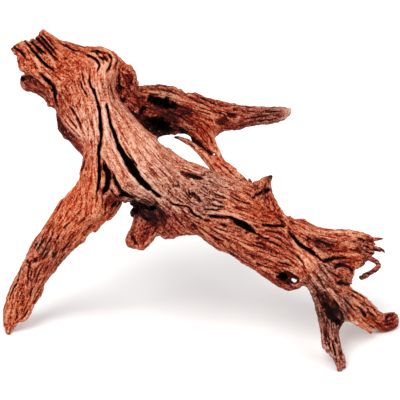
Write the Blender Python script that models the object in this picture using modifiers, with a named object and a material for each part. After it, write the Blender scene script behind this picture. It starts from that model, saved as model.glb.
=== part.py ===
"""A mangrove root: one grown piece of dry driftwood that stands like a low bridge on three feet.

The root is drawn on a front elevation that leans back by ELEVATION.  U runs to the right and V runs down,
both in millimetres on the elevation's plane, and W is the distance in front of that plane.
Every limb is a row of cross sections.  Each section gives its two outline points on the elevation,
its middle depth, and how far the wood swells to the front and to the back of that depth.
The limbs grow into one solid, the hollows are cut from it, and the three feet are worn flat.
"""

import math

import bmesh
import bpy
import numpy as np
from mathutils import Vector

MM = 0.001

# The elevation and where it stands in space, in millimetres and degrees.
ELEVATION = 25.0
EYE_DISTANCE = 1500.0
MIDDLE_U, MIDDLE_V = 200.0, 200.0
SHIFT_X, SHIFT_Y, SHIFT_Z = -1.4, -9.3, 155.0

# How finely the solid is drawn.
RING = 18
SECTION_STEP = 5.0
SKIN = 2.0
SMOOTH_PASSES = 3
FACE_COUNT = 6400
CRACK_FRONT = 100.0

# Colour and finish of the dry wood.
WOOD_COLOUR = (0.42, 0.13, 0.055, 1.0)
WOOD_ROUGHNESS = 0.8
WOOD_METALLIC = 0.0

# Limbs: (left u, left v, right u, right v, w, front swell, back swell) for each section.
CROWN = [
    (12, 50, 43, 31, 50, 11, 11),
    (17, 58, 52, 36, 50, 16, 16),
    (22, 72, 63, 41, 49, 21, 21),
    (30, 87, 76, 44, 48, 25, 25),
    (42, 96, 90, 47, 47, 28, 28),
    (49, 103, 103, 48, 46, 29, 29),
    (56, 110, 113, 53, 45, 30, 30),
    (57, 119, 117, 66, 44, 31, 30),
    (60, 129, 114, 82, 43, 31, 30),
    (64, 137, 117, 98, 42, 31, 30),
    (71, 143, 128, 112, 41, 31, 30),
    (80, 152, 143, 130, 40, 30, 30),
    (85, 160, 158, 143, 38, 28, 28),
]
TRUNK = [
    (84, 150, 140, 126, 40, 28, 28),
    (98, 172, 153, 139, 38, 30, 29),
    (108, 190, 165, 147, 36, 31, 30),
    (122, 200, 180, 157, 34, 32, 31),
    (140, 210, 192, 163, 32, 33, 31),
    (155, 224, 203, 168, 30, 33, 31),
    (170, 236, 214, 174, 28, 33, 31),
    (184, 235, 226, 178, 25, 32, 31),
    (198, 235, 238, 180, 22, 32, 30),
    (208, 242, 249, 184, 19, 32, 30),
    (220, 250, 258, 188, 16, 32, 29),
    (233, 255, 268, 196, 14, 31, 28),
    (242, 263, 275, 203, 11, 30, 27),
    (255, 270, 284, 213, 9, 29, 27),
    (266, 278, 293, 220, 6, 28, 26),
    (278, 285, 303, 228, 4, 26, 25),
    (289, 289, 315, 238, 2, 25, 24),
    (301, 287, 326, 250, 0, 23, 23),
    (312, 292, 337, 266, -3, 21, 21),
    (322, 305, 347, 281, -8, 19, 18),
    (334, 317, 357, 292, -17, 16, 15),
    (347, 320, 367, 297, -31, 13, 13),
    (358, 322, 373, 303, -45, 11, 11),
    (369, 326, 377, 309, -58, 9, 9),
    (377, 330.5, 384, 315, -66, 8.5, 8.5),
    (384.5, 332.5, 390, 314, -70, 9, 9),
    (391, 330, 395, 313, -72, 8, 8),
    (396.5, 325, 398, 318, -72, 5, 5),
]
LEFT_LEG = [
    (60, 125, 100, 100, 45, 25, 25),
    (70, 142, 104, 125, 40, 24, 24),
    (80, 153, 107, 148, 36, 23, 23),
    (84, 163, 110, 166, 32, 23, 22),
    (80, 176, 114, 183, 27, 22, 21),
    (75, 186, 118, 197, 21, 21, 21),
    (66, 195, 118, 205, 15, 21, 20),
    (58, 205, 111, 217, 8, 21, 20),
    (52, 215, 101, 222, 1, 20, 20),
    (45, 226, 92, 233, -7, 20, 19),
    (38, 236, 82, 243, -15, 19, 18),
    (33, 246, 72, 253, -23, 18, 17),
    (27, 257, 62, 262, -31, 17, 16),
    (21, 268, 55, 270, -38, 16, 15),
    (16, 278, 48, 278, -45, 15, 14),
    (11, 288, 43, 286, -52, 14, 13),
    (7, 297, 42, 292, -57, 13, 12),
    (4.5, 305, 35, 302, -61, 11, 11),
    (3.5, 313, 30, 312, -64, 10, 9),
    (4, 320, 24, 320, -66, 8, 8),
    (5, 326, 16, 325, -68, 6.5, 6.5),
    (5.5, 331, 13, 330, -69, 5, 5),
    (6.5, 335.5, 11, 335.5, -69, 4, 4),
]
KNOB = [
    (150, 195, 185, 215, 12, 20, 20),
    (137, 206, 178, 232, 14, 19, 18),
    (131, 218, 165, 238, 16, 17, 16),
    (128, 232, 155, 240, 18, 14, 14),
    (125.5, 240, 150, 246, 19, 12, 12),
    (127, 246, 143, 250, 19, 9, 9),
]
REAR_BRANCH = [
    (112, 122, 112, 84, 26, 18, 18),
    (132, 132, 130, 84, 14, 20, 18),
    (155, 140, 150, 85.5, 2, 20, 18),
    (170, 134, 165, 86, -6, 19, 18),
    (187, 133, 180, 89, -13, 18, 17),
    (203, 138, 195, 93, -20, 17, 16),
    (215, 137, 210, 98, -26, 15, 15),
    (228, 131, 226, 102, -32, 13, 13),
    (242, 128, 241, 105, -37, 11.5, 11.5),
    (257, 125, 256, 106.5, -42, 9.5, 9.5),
    (270, 123, 270, 107.5, -46, 8, 8),
    (281, 121, 283, 107.5, -50, 7, 7),
    (287, 118.5, 291.5, 108.5, -52, 5.5, 5.5),
]
SIDE_BRANCH = [
    (188, 120, 212, 120, -20, 13, 13),
    (191, 133, 214, 134, -18, 11, 11),
    (200, 141, 216, 143, -15, 8.5, 8.5),
    (207, 149, 219, 150, -12, 7.5, 7.5),
    (211, 157, 223, 157, -8, 7.5, 7.5),
    (210, 163, 228, 163, -3, 9, 9),
    (214, 170, 235, 168, 2, 11, 11),
    (221, 179, 243, 176, 8, 14, 14),
    (226, 191, 247, 186, 12, 16, 16),
]
FORK = [
    (288, 250, 286, 218, 2, 18, 20),
    (305, 256, 302, 221, -3, 18, 18),
    (320, 262, 316, 226, -8, 17, 16),
    (335, 266, 332, 229.5, -12, 15, 15),
    (350, 268, 347, 230.5, -16, 13, 13),
    (361, 267, 360, 233, -19, 11, 11),
    (367, 258, 370, 236, -21, 8, 8),
    (376, 257, 376, 240, -23, 6, 6),
    (383, 256, 381, 246, -24, 3.5, 3.5),
]
FORK_STUB = [
    (318, 282, 333, 258, -4, 14, 14),
    (328, 285, 344, 264, -2, 12, 12),
    (338, 285, 352, 267, 0, 10, 10),
    (347, 283, 354, 274, 1, 6, 6),
]
RIGHT_LEG = [
    (304, 279, 345, 298, -2, 18, 18),
    (311, 291, 345, 309, -1, 16, 16),
    (314, 300, 343, 318, -1, 15, 14),
    (317, 309, 341, 323, -2, 13, 13),
    (319, 318, 339, 327, -3, 11, 11),
    (321, 328, 338, 331, -4, 10, 10),
    (322, 338, 338.5, 338, -4, 9, 9),
    (323, 347, 340, 347, -4, 8, 8),
    (330, 355, 342.5, 354, -4, 7, 7),
    (334, 361, 344.5, 361, -4, 6.5, 6.5),
    (336.5, 369.5, 345, 368.5, -4, 5.5, 5.5),
]
SPIKE = [
    (238, 205, 284, 226, 15, 20, 20),
    (243, 193, 278, 208, 18, 16, 16),
    (248, 186, 272, 196, 20, 11, 11),
    (256, 182.5, 270.5, 187, 21, 7, 7),
    (265, 178, 270.5, 181, 22, 3.5, 3.5),
    (271, 174.5, 273, 176, 22, 1.5, 1.5),
]
BURL = [
    (104, 78, 121, 58, 30, 14, 14),
    (110, 92, 134, 68, 26, 16, 14),
    (116, 102, 138, 80, 22, 15, 14),
    (120, 112, 138, 92, 18, 13, 13),
]

# Thin limbs: (u, v, w, radius) along each.
TWIG = [
    (174, 137.5, -16, 1.6),
    (179, 138, -16, 2.4),
    (186, 141, -15, 3.0),
    (193, 145.5, -13, 3.4),
    (200, 151, -10, 4.0),
    (206, 157, -7, 4.6),
    (213, 165, -2, 5.2),
    (221, 174, 4, 6.0),
    (228, 182, 8, 6.0),
]
HOOK = [
    (358, 250, -20, 3.0),
    (366, 257.5, -20, 2.6),
    (373, 260.5, -19, 2.4),
    (378.5, 264, -18, 2.3),
    (377, 268.5, -17, 2.3),
    (371, 272.5, -16, 2.3),
    (365, 276, -15, 2.2),
    (360, 278.5, -14, 1.8),
]
STRAND = [
    (270, 262, 14, 5.0),
    (279, 281, 8, 4.0),
    (289, 286.5, 6, 3.6),
    (298, 285, 4, 3.6),
    (306, 280, 2, 5.0),
]
FOOT_SPUR = [
    (345, 312, -20, 6.0),
    (357, 321, -34, 4.0),
    (366, 327, -44, 3.0),
    (371, 332, -49, 2.2),
]

LIMBS = (
    CROWN,
    TRUNK,
    LEFT_LEG,
    KNOB,
    REAR_BRANCH,
    SIDE_BRANCH,
    FORK,
    FORK_STUB,
    RIGHT_LEG,
    SPIKE,
    BURL,
)
THIN_LIMBS = (TWIG, HOOK, STRAND, FOOT_SPUR)

# Hollows: (u, v, w, half length, half height, half depth, turn in degrees on the elevation).
HOLLOWS = {
    "branch_hollow_upper": (161, 104, 12, 21, 7, 19, -4),
    "branch_hollow_lower": (158, 125, 14, 17, 8, 20, 22),
    "fork_hollow": (335, 245, 4, 26, 8.5, 16, 7),
    "right_leg_hollow": (329, 311, 14, 17, 5.5, 17, 62),
    "under_knob_hollow": (149, 210, 38, 20, 8, 22, 15),
    "trunk_slot": (238, 223, 44, 15, 3.6, 18, 26),
    "spike_hollow": (262, 192, 34, 9, 4, 12, -28),
}
# Through holes: (u, v, half length, half height, turn in degrees).
HOLES = {
    "trunk_eyelet": (294, 280, 6.0, 3.2, 5),
}

# Cracks: (u, v, half width, w of the bottom) along each.
CRACKS = {
    "shoulder_crack": [
        (89.5, 66, 0.9, 62),
        (90.5, 84, 1.3, 58),
        (96, 98, 1.5, 55),
        (99.5, 112, 1.6, 53),
        (101, 130, 1.7, 51),
        (100.5, 147, 1.7, 46),
        (99, 163, 1.7, 38),
        (98.5, 184, 1.5, 32),
        (96.5, 203, 0.9, 30),
    ],
    "long_crack": [
        (107, 104, 1.0, 60),
        (109.5, 120, 1.6, 54),
        (114, 134, 2.4, 48),
        (121, 149, 3.0, 44),
        (131, 166, 3.6, 42),
        (141, 178, 3.0, 42),
        (151, 187, 2.0, 46),
        (161, 196, 1.0, 54),
    ],
    "crown_slot_low": [
        (22, 38, 1.8, 34),
        (34, 52, 1.8, 42),
        (48, 66, 1.7, 55),
        (60, 76, 1.0, 66),
    ],
    "crown_slot_middle": [
        (36, 34, 1.7, 36),
        (45, 47, 1.7, 44),
        (54, 57, 1.5, 58),
        (62, 64, 0.9, 68),
    ],
    "crown_slot_high": [
        (46, 28, 1.5, 38),
        (57, 38, 1.5, 46),
        (68, 46, 1.3, 58),
        (80, 50, 0.9, 62),
    ],
    "crown_slot_edge": [
        (12, 43, 1.4, 38),
        (20, 53, 1.4, 44),
        (28, 62, 0.9, 58),
    ],
}


def place(u, v, w):
    """The point in space, in millimetres, of a point on the elevation."""
    lean = math.radians(ELEVATION)
    reach = (EYE_DISTANCE - w) / EYE_DISTANCE
    x = (u - MIDDLE_U) * reach
    rise = (MIDDLE_V - v) * reach
    return Vector(
        (
            x + SHIFT_X,
            rise * math.sin(lean) - w * math.cos(lean) + SHIFT_Y,
            rise * math.cos(lean) + w * math.sin(lean) + SHIFT_Z,
        )
    )


def resample(rows, step):
    """Rows of numbers with smooth in-between rows, about step apart along the middle line."""
    rows = np.array(rows, float)
    if rows.shape[1] == 7:
        mid = np.column_stack([(rows[:, 0] + rows[:, 2]) / 2, (rows[:, 1] + rows[:, 3]) / 2, rows[:, 4]])
    else:
        mid = rows[:, :3]
    out = [rows[0]]
    for i in range(len(rows) - 1):
        a = rows[max(i - 1, 0)]
        b, c = rows[i], rows[i + 1]
        d = rows[min(i + 2, len(rows) - 1)]
        count = max(1, round(float(np.linalg.norm(mid[i + 1] - mid[i])) / step))
        for k in range(1, count + 1):
            t = k / count
            out.append(
                0.5
                * (
                    2 * b
                    + (c - a) * t
                    + (2 * a - 5 * b + 4 * c - d) * t * t
                    + (3 * b - 3 * c + d - a) * t * t * t
                )
            )
    return np.array(out)


def add_rings(mesh, rings):
    """Skins a row of rings and closes both ends with a fan."""
    made = [[mesh.verts.new(p * MM) for p in ring] for ring in rings]
    for a, b in zip(made, made[1:]):
        for i in range(RING):
            j = (i + 1) % RING
            mesh.faces.new((a[i], a[j], b[j], b[i]))
    for ring, turn in ((made[0], -1), (made[-1], 1)):
        centre = mesh.verts.new(sum((p.co for p in ring), Vector()) / RING)
        for i in range(RING):
            j = (i + 1) % RING
            mesh.faces.new((ring[i], ring[j], centre)[::turn])


def section_ring(row):
    lu, lv, ru, rv, w, front, back = (float(x) for x in row)
    ring = []
    for i in range(RING):
        angle = 2 * math.pi * i / RING
        across, out = math.cos(angle), math.sin(angle)
        u = (lu + ru) / 2 + (ru - lu) / 2 * across
        v = (lv + rv) / 2 + (rv - lv) / 2 * across
        ring.append(place(u, v, w + out * (front if out > 0 else back)))
    return ring


def thin_rings(rows):
    points = [place(float(u), float(v), float(w)) for u, v, w, _ in rows]
    rings = []
    side = Vector((0, 1, 0))
    for i, point in enumerate(points):
        along = (points[min(i + 1, len(points) - 1)] - points[max(i - 1, 0)]).normalized()
        side = (side - along * side.dot(along)).normalized()
        up = along.cross(side)
        radius = max(float(rows[i][3]), 1.2)
        rings.append(
            [
                point + radius * (math.cos(a) * side + math.sin(a) * up)
                for a in (2 * math.pi * k / RING for k in range(RING))
            ]
        )
    return rings


def build_collection(name, hidden):
    found = bpy.data.collections.new(name)
    bpy.context.scene.collection.children.link(found)
    found.hide_render = hidden
    return found


def wood():
    material = bpy.data.materials.new("mangrove_wood")
    material.use_nodes = True
    shader = next(n for n in material.node_tree.nodes if n.type == "BSDF_PRINCIPLED")
    shader.inputs["Base Color"].default_value = WOOD_COLOUR
    shader.inputs["Roughness"].default_value = WOOD_ROUGHNESS
    shader.inputs["Metallic"].default_value = WOOD_METALLIC
    material.diffuse_color = WOOD_COLOUR
    return material


def grown_limbs():
    mesh = bmesh.new()
    for limb in LIMBS:
        add_rings(mesh, [section_ring(row) for row in resample(limb, SECTION_STEP)])
    for limb in THIN_LIMBS:
        add_rings(mesh, thin_rings(resample(limb, SECTION_STEP / 2)))
    bmesh.ops.recalc_face_normals(mesh, faces=mesh.faces)
    data = bpy.data.meshes.new("mangrove_root_limbs")
    mesh.to_mesh(data)
    mesh.free()
    return data


def add_cutter(name, centre, half, turn, collection):
    """An ellipsoid whose axes lie along the elevation and across it."""
    bpy.ops.mesh.primitive_uv_sphere_add(segments=18, ring_count=10, radius=1.0)
    cutter = bpy.context.object
    cutter.name = name
    u, v, w = centre
    lean, spin = math.radians(ELEVATION), math.radians(turn)
    right = Vector((1, 0, 0))
    down = Vector((0, -math.sin(lean), -math.cos(lean)))
    front = Vector((0, -math.cos(lean), math.sin(lean)))
    long = math.cos(spin) * right + math.sin(spin) * down
    high = -math.sin(spin) * right + math.cos(spin) * down
    point = place(u, v, w) * MM
    for vertex in cutter.data.vertices:
        a, b, c = vertex.co
        vertex.co = point + MM * (a * half[0] * long + b * half[1] * high + c * half[2] * front)
    move_to(cutter, collection)
    cutter.hide_render = True
    cutter.display_type = "WIRE"
    mesh = bmesh.new()
    mesh.from_mesh(cutter.data)
    bmesh.ops.recalc_face_normals(mesh, faces=mesh.faces)
    mesh.to_mesh(cutter.data)
    mesh.free()
    return cutter


def add_crack(name, rows, collection):
    """A wedge that follows the crack and opens towards the front."""
    mesh = bmesh.new()
    rings = []
    rows = resample(rows, 2 * SECTION_STEP)
    for i, row in enumerate(rows):
        u, v, half, bottom = (float(x) for x in row)
        ahead, behind = rows[min(i + 1, len(rows) - 1)], rows[max(i - 1, 0)]
        run_u, run_v = float(ahead[0] - behind[0]), float(ahead[1] - behind[1])
        length = math.hypot(run_u, run_v)
        side_u, side_v = -run_v / length, run_u / length
        corners = ((half * 1.15, CRACK_FRONT), (-half * 1.15, CRACK_FRONT), (-half * 0.6, bottom), (half * 0.6, bottom))
        rings.append([place(u + a * side_u, v + a * side_v, w) * MM for a, w in corners])
    made = [[mesh.verts.new(p) for p in ring] for ring in rings]
    for a, b in zip(made, made[1:]):
        for i in range(4):
            mesh.faces.new((a[i], a[(i + 1) % 4], b[(i + 1) % 4], b[i]))
    mesh.faces.new(made[0][::-1])
    mesh.faces.new(made[-1])
    bmesh.ops.recalc_face_normals(mesh, faces=mesh.faces)
    data = bpy.data.meshes.new(name)
    mesh.to_mesh(data)
    mesh.free()
    cutter = bpy.data.objects.new(name, data)
    collection.objects.link(cutter)
    cutter.hide_render = True
    cutter.display_type = "WIRE"
    return cutter


def move_to(thing, collection):
    for holder in list(thing.users_collection):
        holder.objects.unlink(thing)
    collection.objects.link(thing)


def cut(root, cutter):
    modifier = root.modifiers.new(cutter.name, "BOOLEAN")
    modifier.operation = "DIFFERENCE"
    modifier.solver = "EXACT"
    modifier.object = cutter


def settle(root):
    """Applies what is on the root so far."""
    bpy.context.view_layer.update()
    graph = bpy.context.evaluated_depsgraph_get()
    data = bpy.data.meshes.new_from_object(root.evaluated_get(graph))
    old = root.data
    root.modifiers.clear()
    root.data = data
    bpy.data.meshes.remove(old)


def keep_largest(mesh):
    """Removes any loose chip, so that the root stays one body."""
    left = set(mesh.verts)
    islands = []
    while left:
        seed = left.pop()
        island, edge = [seed], [seed]
        while edge:
            vertex = edge.pop()
            for link in vertex.link_edges:
                other = link.other_vert(vertex)
                if other in left:
                    left.discard(other)
                    island.append(other)
                    edge.append(other)
        islands.append(island)
    islands.sort(key=len)
    for island in islands[:-1]:
        bmesh.ops.delete(mesh, geom=island, context="VERTS")


def wear_feet(mesh):
    """Cuts the feet level with the ground."""
    geometry = mesh.verts[:] + mesh.edges[:] + mesh.faces[:]
    cut_line = bmesh.ops.bisect_plane(
        mesh, geom=geometry, dist=1e-6, plane_co=(0, 0, 0), plane_no=(0, 0, -1), clear_outer=True
    )["geom_cut"]
    edges = [e for e in cut_line if isinstance(e, bmesh.types.BMEdge)]
    bmesh.ops.holes_fill(mesh, edges=edges, sides=0)


def main():
    for thing in list(bpy.data.objects):
        bpy.data.objects.remove(thing)
    parts = build_collection("mangrove_root_object", False)
    cutters = build_collection("mangrove_root_cutters", True)

    root = bpy.data.objects.new("mangrove_root", grown_limbs())
    parts.objects.link(root)
    remesh = root.modifiers.new("grown_together", "REMESH")
    remesh.mode = "VOXEL"
    remesh.voxel_size = SKIN * MM
    remesh.adaptivity = 0.0
    smooth = root.modifiers.new("weathered", "SMOOTH")
    smooth.factor = 0.5
    smooth.iterations = SMOOTH_PASSES
    settle(root)

    fewer = root.modifiers.new("fewer_faces", "DECIMATE")
    fewer.ratio = FACE_COUNT / (2 * len(root.data.polygons))
    fewer.use_collapse_triangulate = True
    settle(root)

    for name, (u, v, w, long, high, deep, turn) in HOLLOWS.items():
        cut(root, add_cutter(name, (u, v, w), (long, high, deep), turn, cutters))
    for name, (u, v, long, high, turn) in HOLES.items():
        cut(root, add_cutter(name, (u, v, 0), (long, high, 90), turn, cutters))
    for name, rows in CRACKS.items():
        cut(root, add_crack(name, rows, cutters))
    settle(root)

    mesh = bmesh.new()
    mesh.from_mesh(root.data)
    keep_largest(mesh)
    wear_feet(mesh)
    bmesh.ops.triangulate(mesh, faces=mesh.faces[:])
    bmesh.ops.recalc_face_normals(mesh, faces=mesh.faces)
    mesh.to_mesh(root.data)
    mesh.free()
    root.data.materials.clear()
    root.data.materials.append(wood())


main()
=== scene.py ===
import math
import time
from concurrent.futures import ThreadPoolExecutor

import bpy
import numpy as np
import openvdb as vdb
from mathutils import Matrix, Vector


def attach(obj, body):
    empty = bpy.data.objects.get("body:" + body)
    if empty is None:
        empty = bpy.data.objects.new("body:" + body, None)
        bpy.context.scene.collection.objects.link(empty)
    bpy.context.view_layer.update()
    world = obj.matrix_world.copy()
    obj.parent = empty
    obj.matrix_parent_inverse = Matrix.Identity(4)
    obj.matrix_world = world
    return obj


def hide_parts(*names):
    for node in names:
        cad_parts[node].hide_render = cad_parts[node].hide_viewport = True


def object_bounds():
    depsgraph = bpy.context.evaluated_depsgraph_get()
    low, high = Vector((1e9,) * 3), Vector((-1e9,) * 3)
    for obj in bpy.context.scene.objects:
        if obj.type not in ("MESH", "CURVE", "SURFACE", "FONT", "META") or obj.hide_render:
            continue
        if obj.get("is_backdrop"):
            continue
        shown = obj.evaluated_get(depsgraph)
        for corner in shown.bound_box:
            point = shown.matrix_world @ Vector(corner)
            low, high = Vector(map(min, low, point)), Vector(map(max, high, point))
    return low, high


# The looks of a mangrove root: one grown piece of dry driftwood, modelled down to its ribs, cracks and fibres.
#
# The root is drawn on the same leaning front elevation as its solid: U runs right and V runs down on the
# elevation's plane, W is the distance in front of it, all in millimetres.  Limbs are lofts of cross sections.
# They are grown together as one distance field, the hollows, cracks and ribs are worked into that field,
# and the surface is drawn from it.  The grain runs along the limbs and round the cracks.

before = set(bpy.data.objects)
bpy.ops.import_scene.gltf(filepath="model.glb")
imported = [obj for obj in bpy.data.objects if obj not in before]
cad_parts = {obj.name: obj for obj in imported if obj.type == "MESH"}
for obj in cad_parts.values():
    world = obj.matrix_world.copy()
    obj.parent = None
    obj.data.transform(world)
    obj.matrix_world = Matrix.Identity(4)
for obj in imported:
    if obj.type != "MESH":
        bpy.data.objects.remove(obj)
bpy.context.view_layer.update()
STARTED = time.perf_counter()

MM = 0.001
VOX = 0.77  # the surface's fineness, in millimetres
BAND = 6.0
LOW = np.array((-216.0, -100.0, -6.0))
HIGH = np.array((214.0, 92.0, 334.0))
CELL_LOW = np.floor(LOW / VOX).astype(int)
SHAPE = np.ceil(HIGH / VOX).astype(int) - CELL_LOW + 1
TRANSFORM = vdb.createLinearTransform(voxelSize=VOX)
POOL = ThreadPoolExecutor(4)
FATTEN = 1.5  # the limbs are drawn a little thick and then cut back to the outline

# The leaning elevation.
LEAN = math.radians(25.0)
EYE_DISTANCE = 1500.0
MIDDLE_U, MIDDLE_V = 200.0, 200.0
SHIFT = np.array((-1.4, -9.3, 155.0))
RING = 48
SECTION_STEP = 2.0

# Limbs: (left u, left v, right u, right v, w, front swell, back swell) for each section.
CROWN = [
    (12, 50, 43, 31, 50, 11, 11),
    (17, 58, 52, 36, 50, 16, 16),
    (22, 72, 63, 41, 49, 21, 21),
    (30, 87, 76, 44, 48, 25, 25),
    (42, 96, 90, 47, 47, 28, 28),
    (49, 103, 103, 48, 46, 29, 29),
    (56, 110, 113, 53, 45, 30, 30),
    (57, 119, 117, 66, 44, 31, 30),
    (60, 129, 114, 82, 43, 31, 30),
    (64, 137, 117, 98, 42, 31, 30),
    (71, 143, 128, 112, 41, 31, 30),
    (80, 152, 143, 130, 40, 30, 30),
    (85, 160, 158, 143, 38, 28, 28),
]
TRUNK = [
    (84, 150, 140, 126, 40, 28, 28),
    (98, 172, 153, 139, 38, 30, 29),
    (108, 190, 165, 147, 36, 31, 30),
    (122, 200, 180, 157, 34, 32, 31),
    (140, 210, 192, 163, 32, 33, 31),
    (155, 224, 203, 168, 30, 33, 31),
    (170, 236, 214, 174, 28, 33, 31),
    (184, 235, 226, 178, 25, 32, 31),
    (198, 235, 238, 180, 22, 32, 30),
    (208, 242, 249, 184, 19, 32, 30),
    (220, 250, 258, 188, 16, 32, 29),
    (233, 255, 268, 196, 14, 31, 28),
    (242, 263, 275, 203, 11, 30, 27),
    (255, 270, 284, 213, 9, 29, 27),
    (266, 278, 293, 220, 6, 28, 26),
    (278, 285, 303, 228, 4, 26, 25),
    (289, 289, 315, 238, 2, 25, 24),
    (301, 287, 326, 250, 0, 23, 23),
    (312, 292, 337, 266, -3, 21, 21),
    (322, 305, 347, 281, -8, 19, 18),
    (334, 317, 357, 292, -17, 16, 15),
    (347, 320, 367, 297, -31, 13, 13),
    (358, 322, 373, 303, -45, 11, 11),
    (369, 326, 377, 309, -58, 9, 9),
    (377, 330.5, 384, 315, -66, 8.5, 8.5),
    (384.5, 332.5, 390, 314, -70, 9, 9),
    (391, 330, 395, 313, -72, 8, 8),
    (396.5, 325, 398, 318, -72, 5, 5),
]
LEFT_LEG = [
    (60, 125, 100, 100, 45, 25, 25),
    (70, 142, 104, 125, 40, 24, 24),
    (80, 153, 107, 148, 36, 23, 23),
    (84, 163, 110, 166, 32, 23, 22),
    (80, 176, 114, 183, 27, 22, 21),
    (75, 186, 118, 197, 21, 21, 21),
    (66, 195, 118, 205, 15, 21, 20),
    (58, 205, 111, 217, 8, 21, 20),
    (52, 215, 101, 222, 1, 20, 20),
    (45, 226, 92, 233, -7, 20, 19),
    (38, 236, 82, 243, -15, 19, 18),
    (33, 246, 72, 253, -23, 18, 17),
    (27, 257, 62, 262, -31, 17, 16),
    (21, 268, 55, 270, -38, 16, 15),
    (16, 278, 48, 278, -45, 15, 14),
    (11, 288, 43, 286, -52, 14, 13),
    (7, 297, 42, 292, -57, 13, 12),
    (4.5, 305, 35, 302, -61, 11, 11),
    (3.5, 313, 30, 312, -64, 10, 9),
    (4, 320, 24, 320, -66, 8, 8),
    (5, 326, 16, 325, -68, 6.5, 6.5),
    (5.5, 331, 13, 330, -69, 5, 5),
    (6.5, 335.5, 11, 335.5, -69, 4, 4),
]
KNOB = [
    (150, 195, 185, 215, 12, 20, 20),
    (137, 206, 178, 232, 14, 19, 18),
    (131, 218, 165, 238, 16, 17, 16),
    (128, 232, 155, 240, 18, 14, 14),
    (125.5, 240, 150, 246, 19, 12, 12),
    (127, 246, 143, 250, 19, 9, 9),
]
REAR_BRANCH = [
    (112, 122, 112, 84, 26, 18, 18),
    (132, 132, 130, 84, 14, 20, 18),
    (155, 140, 150, 85.5, 2, 20, 18),
    (170, 134, 165, 86, -6, 19, 18),
    (187, 133, 180, 89, -13, 18, 17),
    (203, 138, 195, 93, -20, 17, 16),
    (215, 137, 210, 98, -26, 15, 15),
    (228, 131, 226, 102, -32, 13, 13),
    (242, 128, 241, 105, -37, 11.5, 11.5),
    (257, 125, 256, 106.5, -42, 9.5, 9.5),
    (270, 123, 270, 107.5, -46, 8, 8),
    (281, 121, 283, 107.5, -50, 7, 7),
    (287, 118.5, 291.5, 108.5, -52, 5.5, 5.5),
]
SIDE_BRANCH = [
    (188, 120, 212, 120, -20, 13, 13),
    (191, 133, 214, 134, -18, 11, 11),
    (200, 141, 216, 143, -15, 8.5, 8.5),
    (207, 149, 219, 150, -12, 7.5, 7.5),
    (211, 157, 223, 157, -8, 7.5, 7.5),
    (210, 163, 228, 163, -3, 9, 9),
    (214, 170, 235, 168, 2, 11, 11),
    (221, 179, 243, 176, 8, 14, 14),
    (226, 191, 247, 186, 12, 16, 16),
]
FORK = [
    (288, 250, 286, 218, 2, 18, 20),
    (305, 256, 302, 221, -3, 18, 18),
    (320, 262, 316, 226, -8, 17, 16),
    (335, 266, 332, 229.5, -12, 15, 15),
    (350, 268, 347, 230.5, -16, 13, 13),
    (361, 267, 360, 233, -19, 11, 11),
    (367, 258, 370, 236, -21, 8, 8),
    (376, 257, 376, 240, -23, 6, 6),
    (383, 256, 381, 246, -24, 3.5, 3.5),
]
FORK_STUB = [
    (318, 282, 333, 258, -4, 14, 14),
    (328, 285, 344, 264, -2, 12, 12),
    (338, 285, 352, 267, 0, 10, 10),
    (347, 283, 354, 274, 1, 6, 6),
]
RIGHT_LEG = [
    (304, 279, 345, 298, -2, 18, 18),
    (311, 291, 345, 309, -1, 16, 16),
    (314, 300, 343, 318, -1, 15, 14),
    (317, 309, 341, 323, -2, 13, 13),
    (319, 318, 339, 327, -3, 11, 11),
    (321, 328, 338, 331, -4, 10, 10),
    (322, 338, 338.5, 338, -4, 9, 9),
    (323, 347, 340, 347, -4, 8, 8),
    (330, 355, 342.5, 354, -4, 7, 7),
    (334, 361, 344.5, 361, -4, 6.5, 6.5),
    (336.5, 369.5, 345, 368.5, -4, 5.5, 5.5),
]
SPIKE = [
    (238, 205, 284, 226, 15, 20, 20),
    (243, 193, 278, 208, 18, 16, 16),
    (248, 186, 272, 196, 20, 11, 11),
    (256, 182.5, 270.5, 187, 21, 7, 7),
    (265, 178, 270.5, 181, 22, 3.5, 3.5),
    (271, 174.5, 273, 176, 22, 1.5, 1.5),
]
BURL = [
    (104, 78, 121, 58, 30, 14, 14),
    (110, 92, 134, 68, 26, 16, 14),
    (116, 102, 138, 80, 22, 15, 14),
    (120, 112, 138, 92, 18, 13, 13),
]
# The lower lip of the crown, a rounded knot over a dark hollow.
CROWN_LIP = [
    (17, 60, 32, 56, 50, 9, 12),
    (17, 68, 36, 64, 51, 11, 14),
    (22, 76, 40, 74, 49, 11, 14),
    (21, 84, 40, 84, 46, 10, 14),
    (25, 91, 44, 94, 44, 9, 12),
]
LIMBS = (CROWN, TRUNK, LEFT_LEG, KNOB, REAR_BRANCH, SIDE_BRANCH, FORK, FORK_STUB, RIGHT_LEG, SPIKE, BURL, CROWN_LIP)

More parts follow.
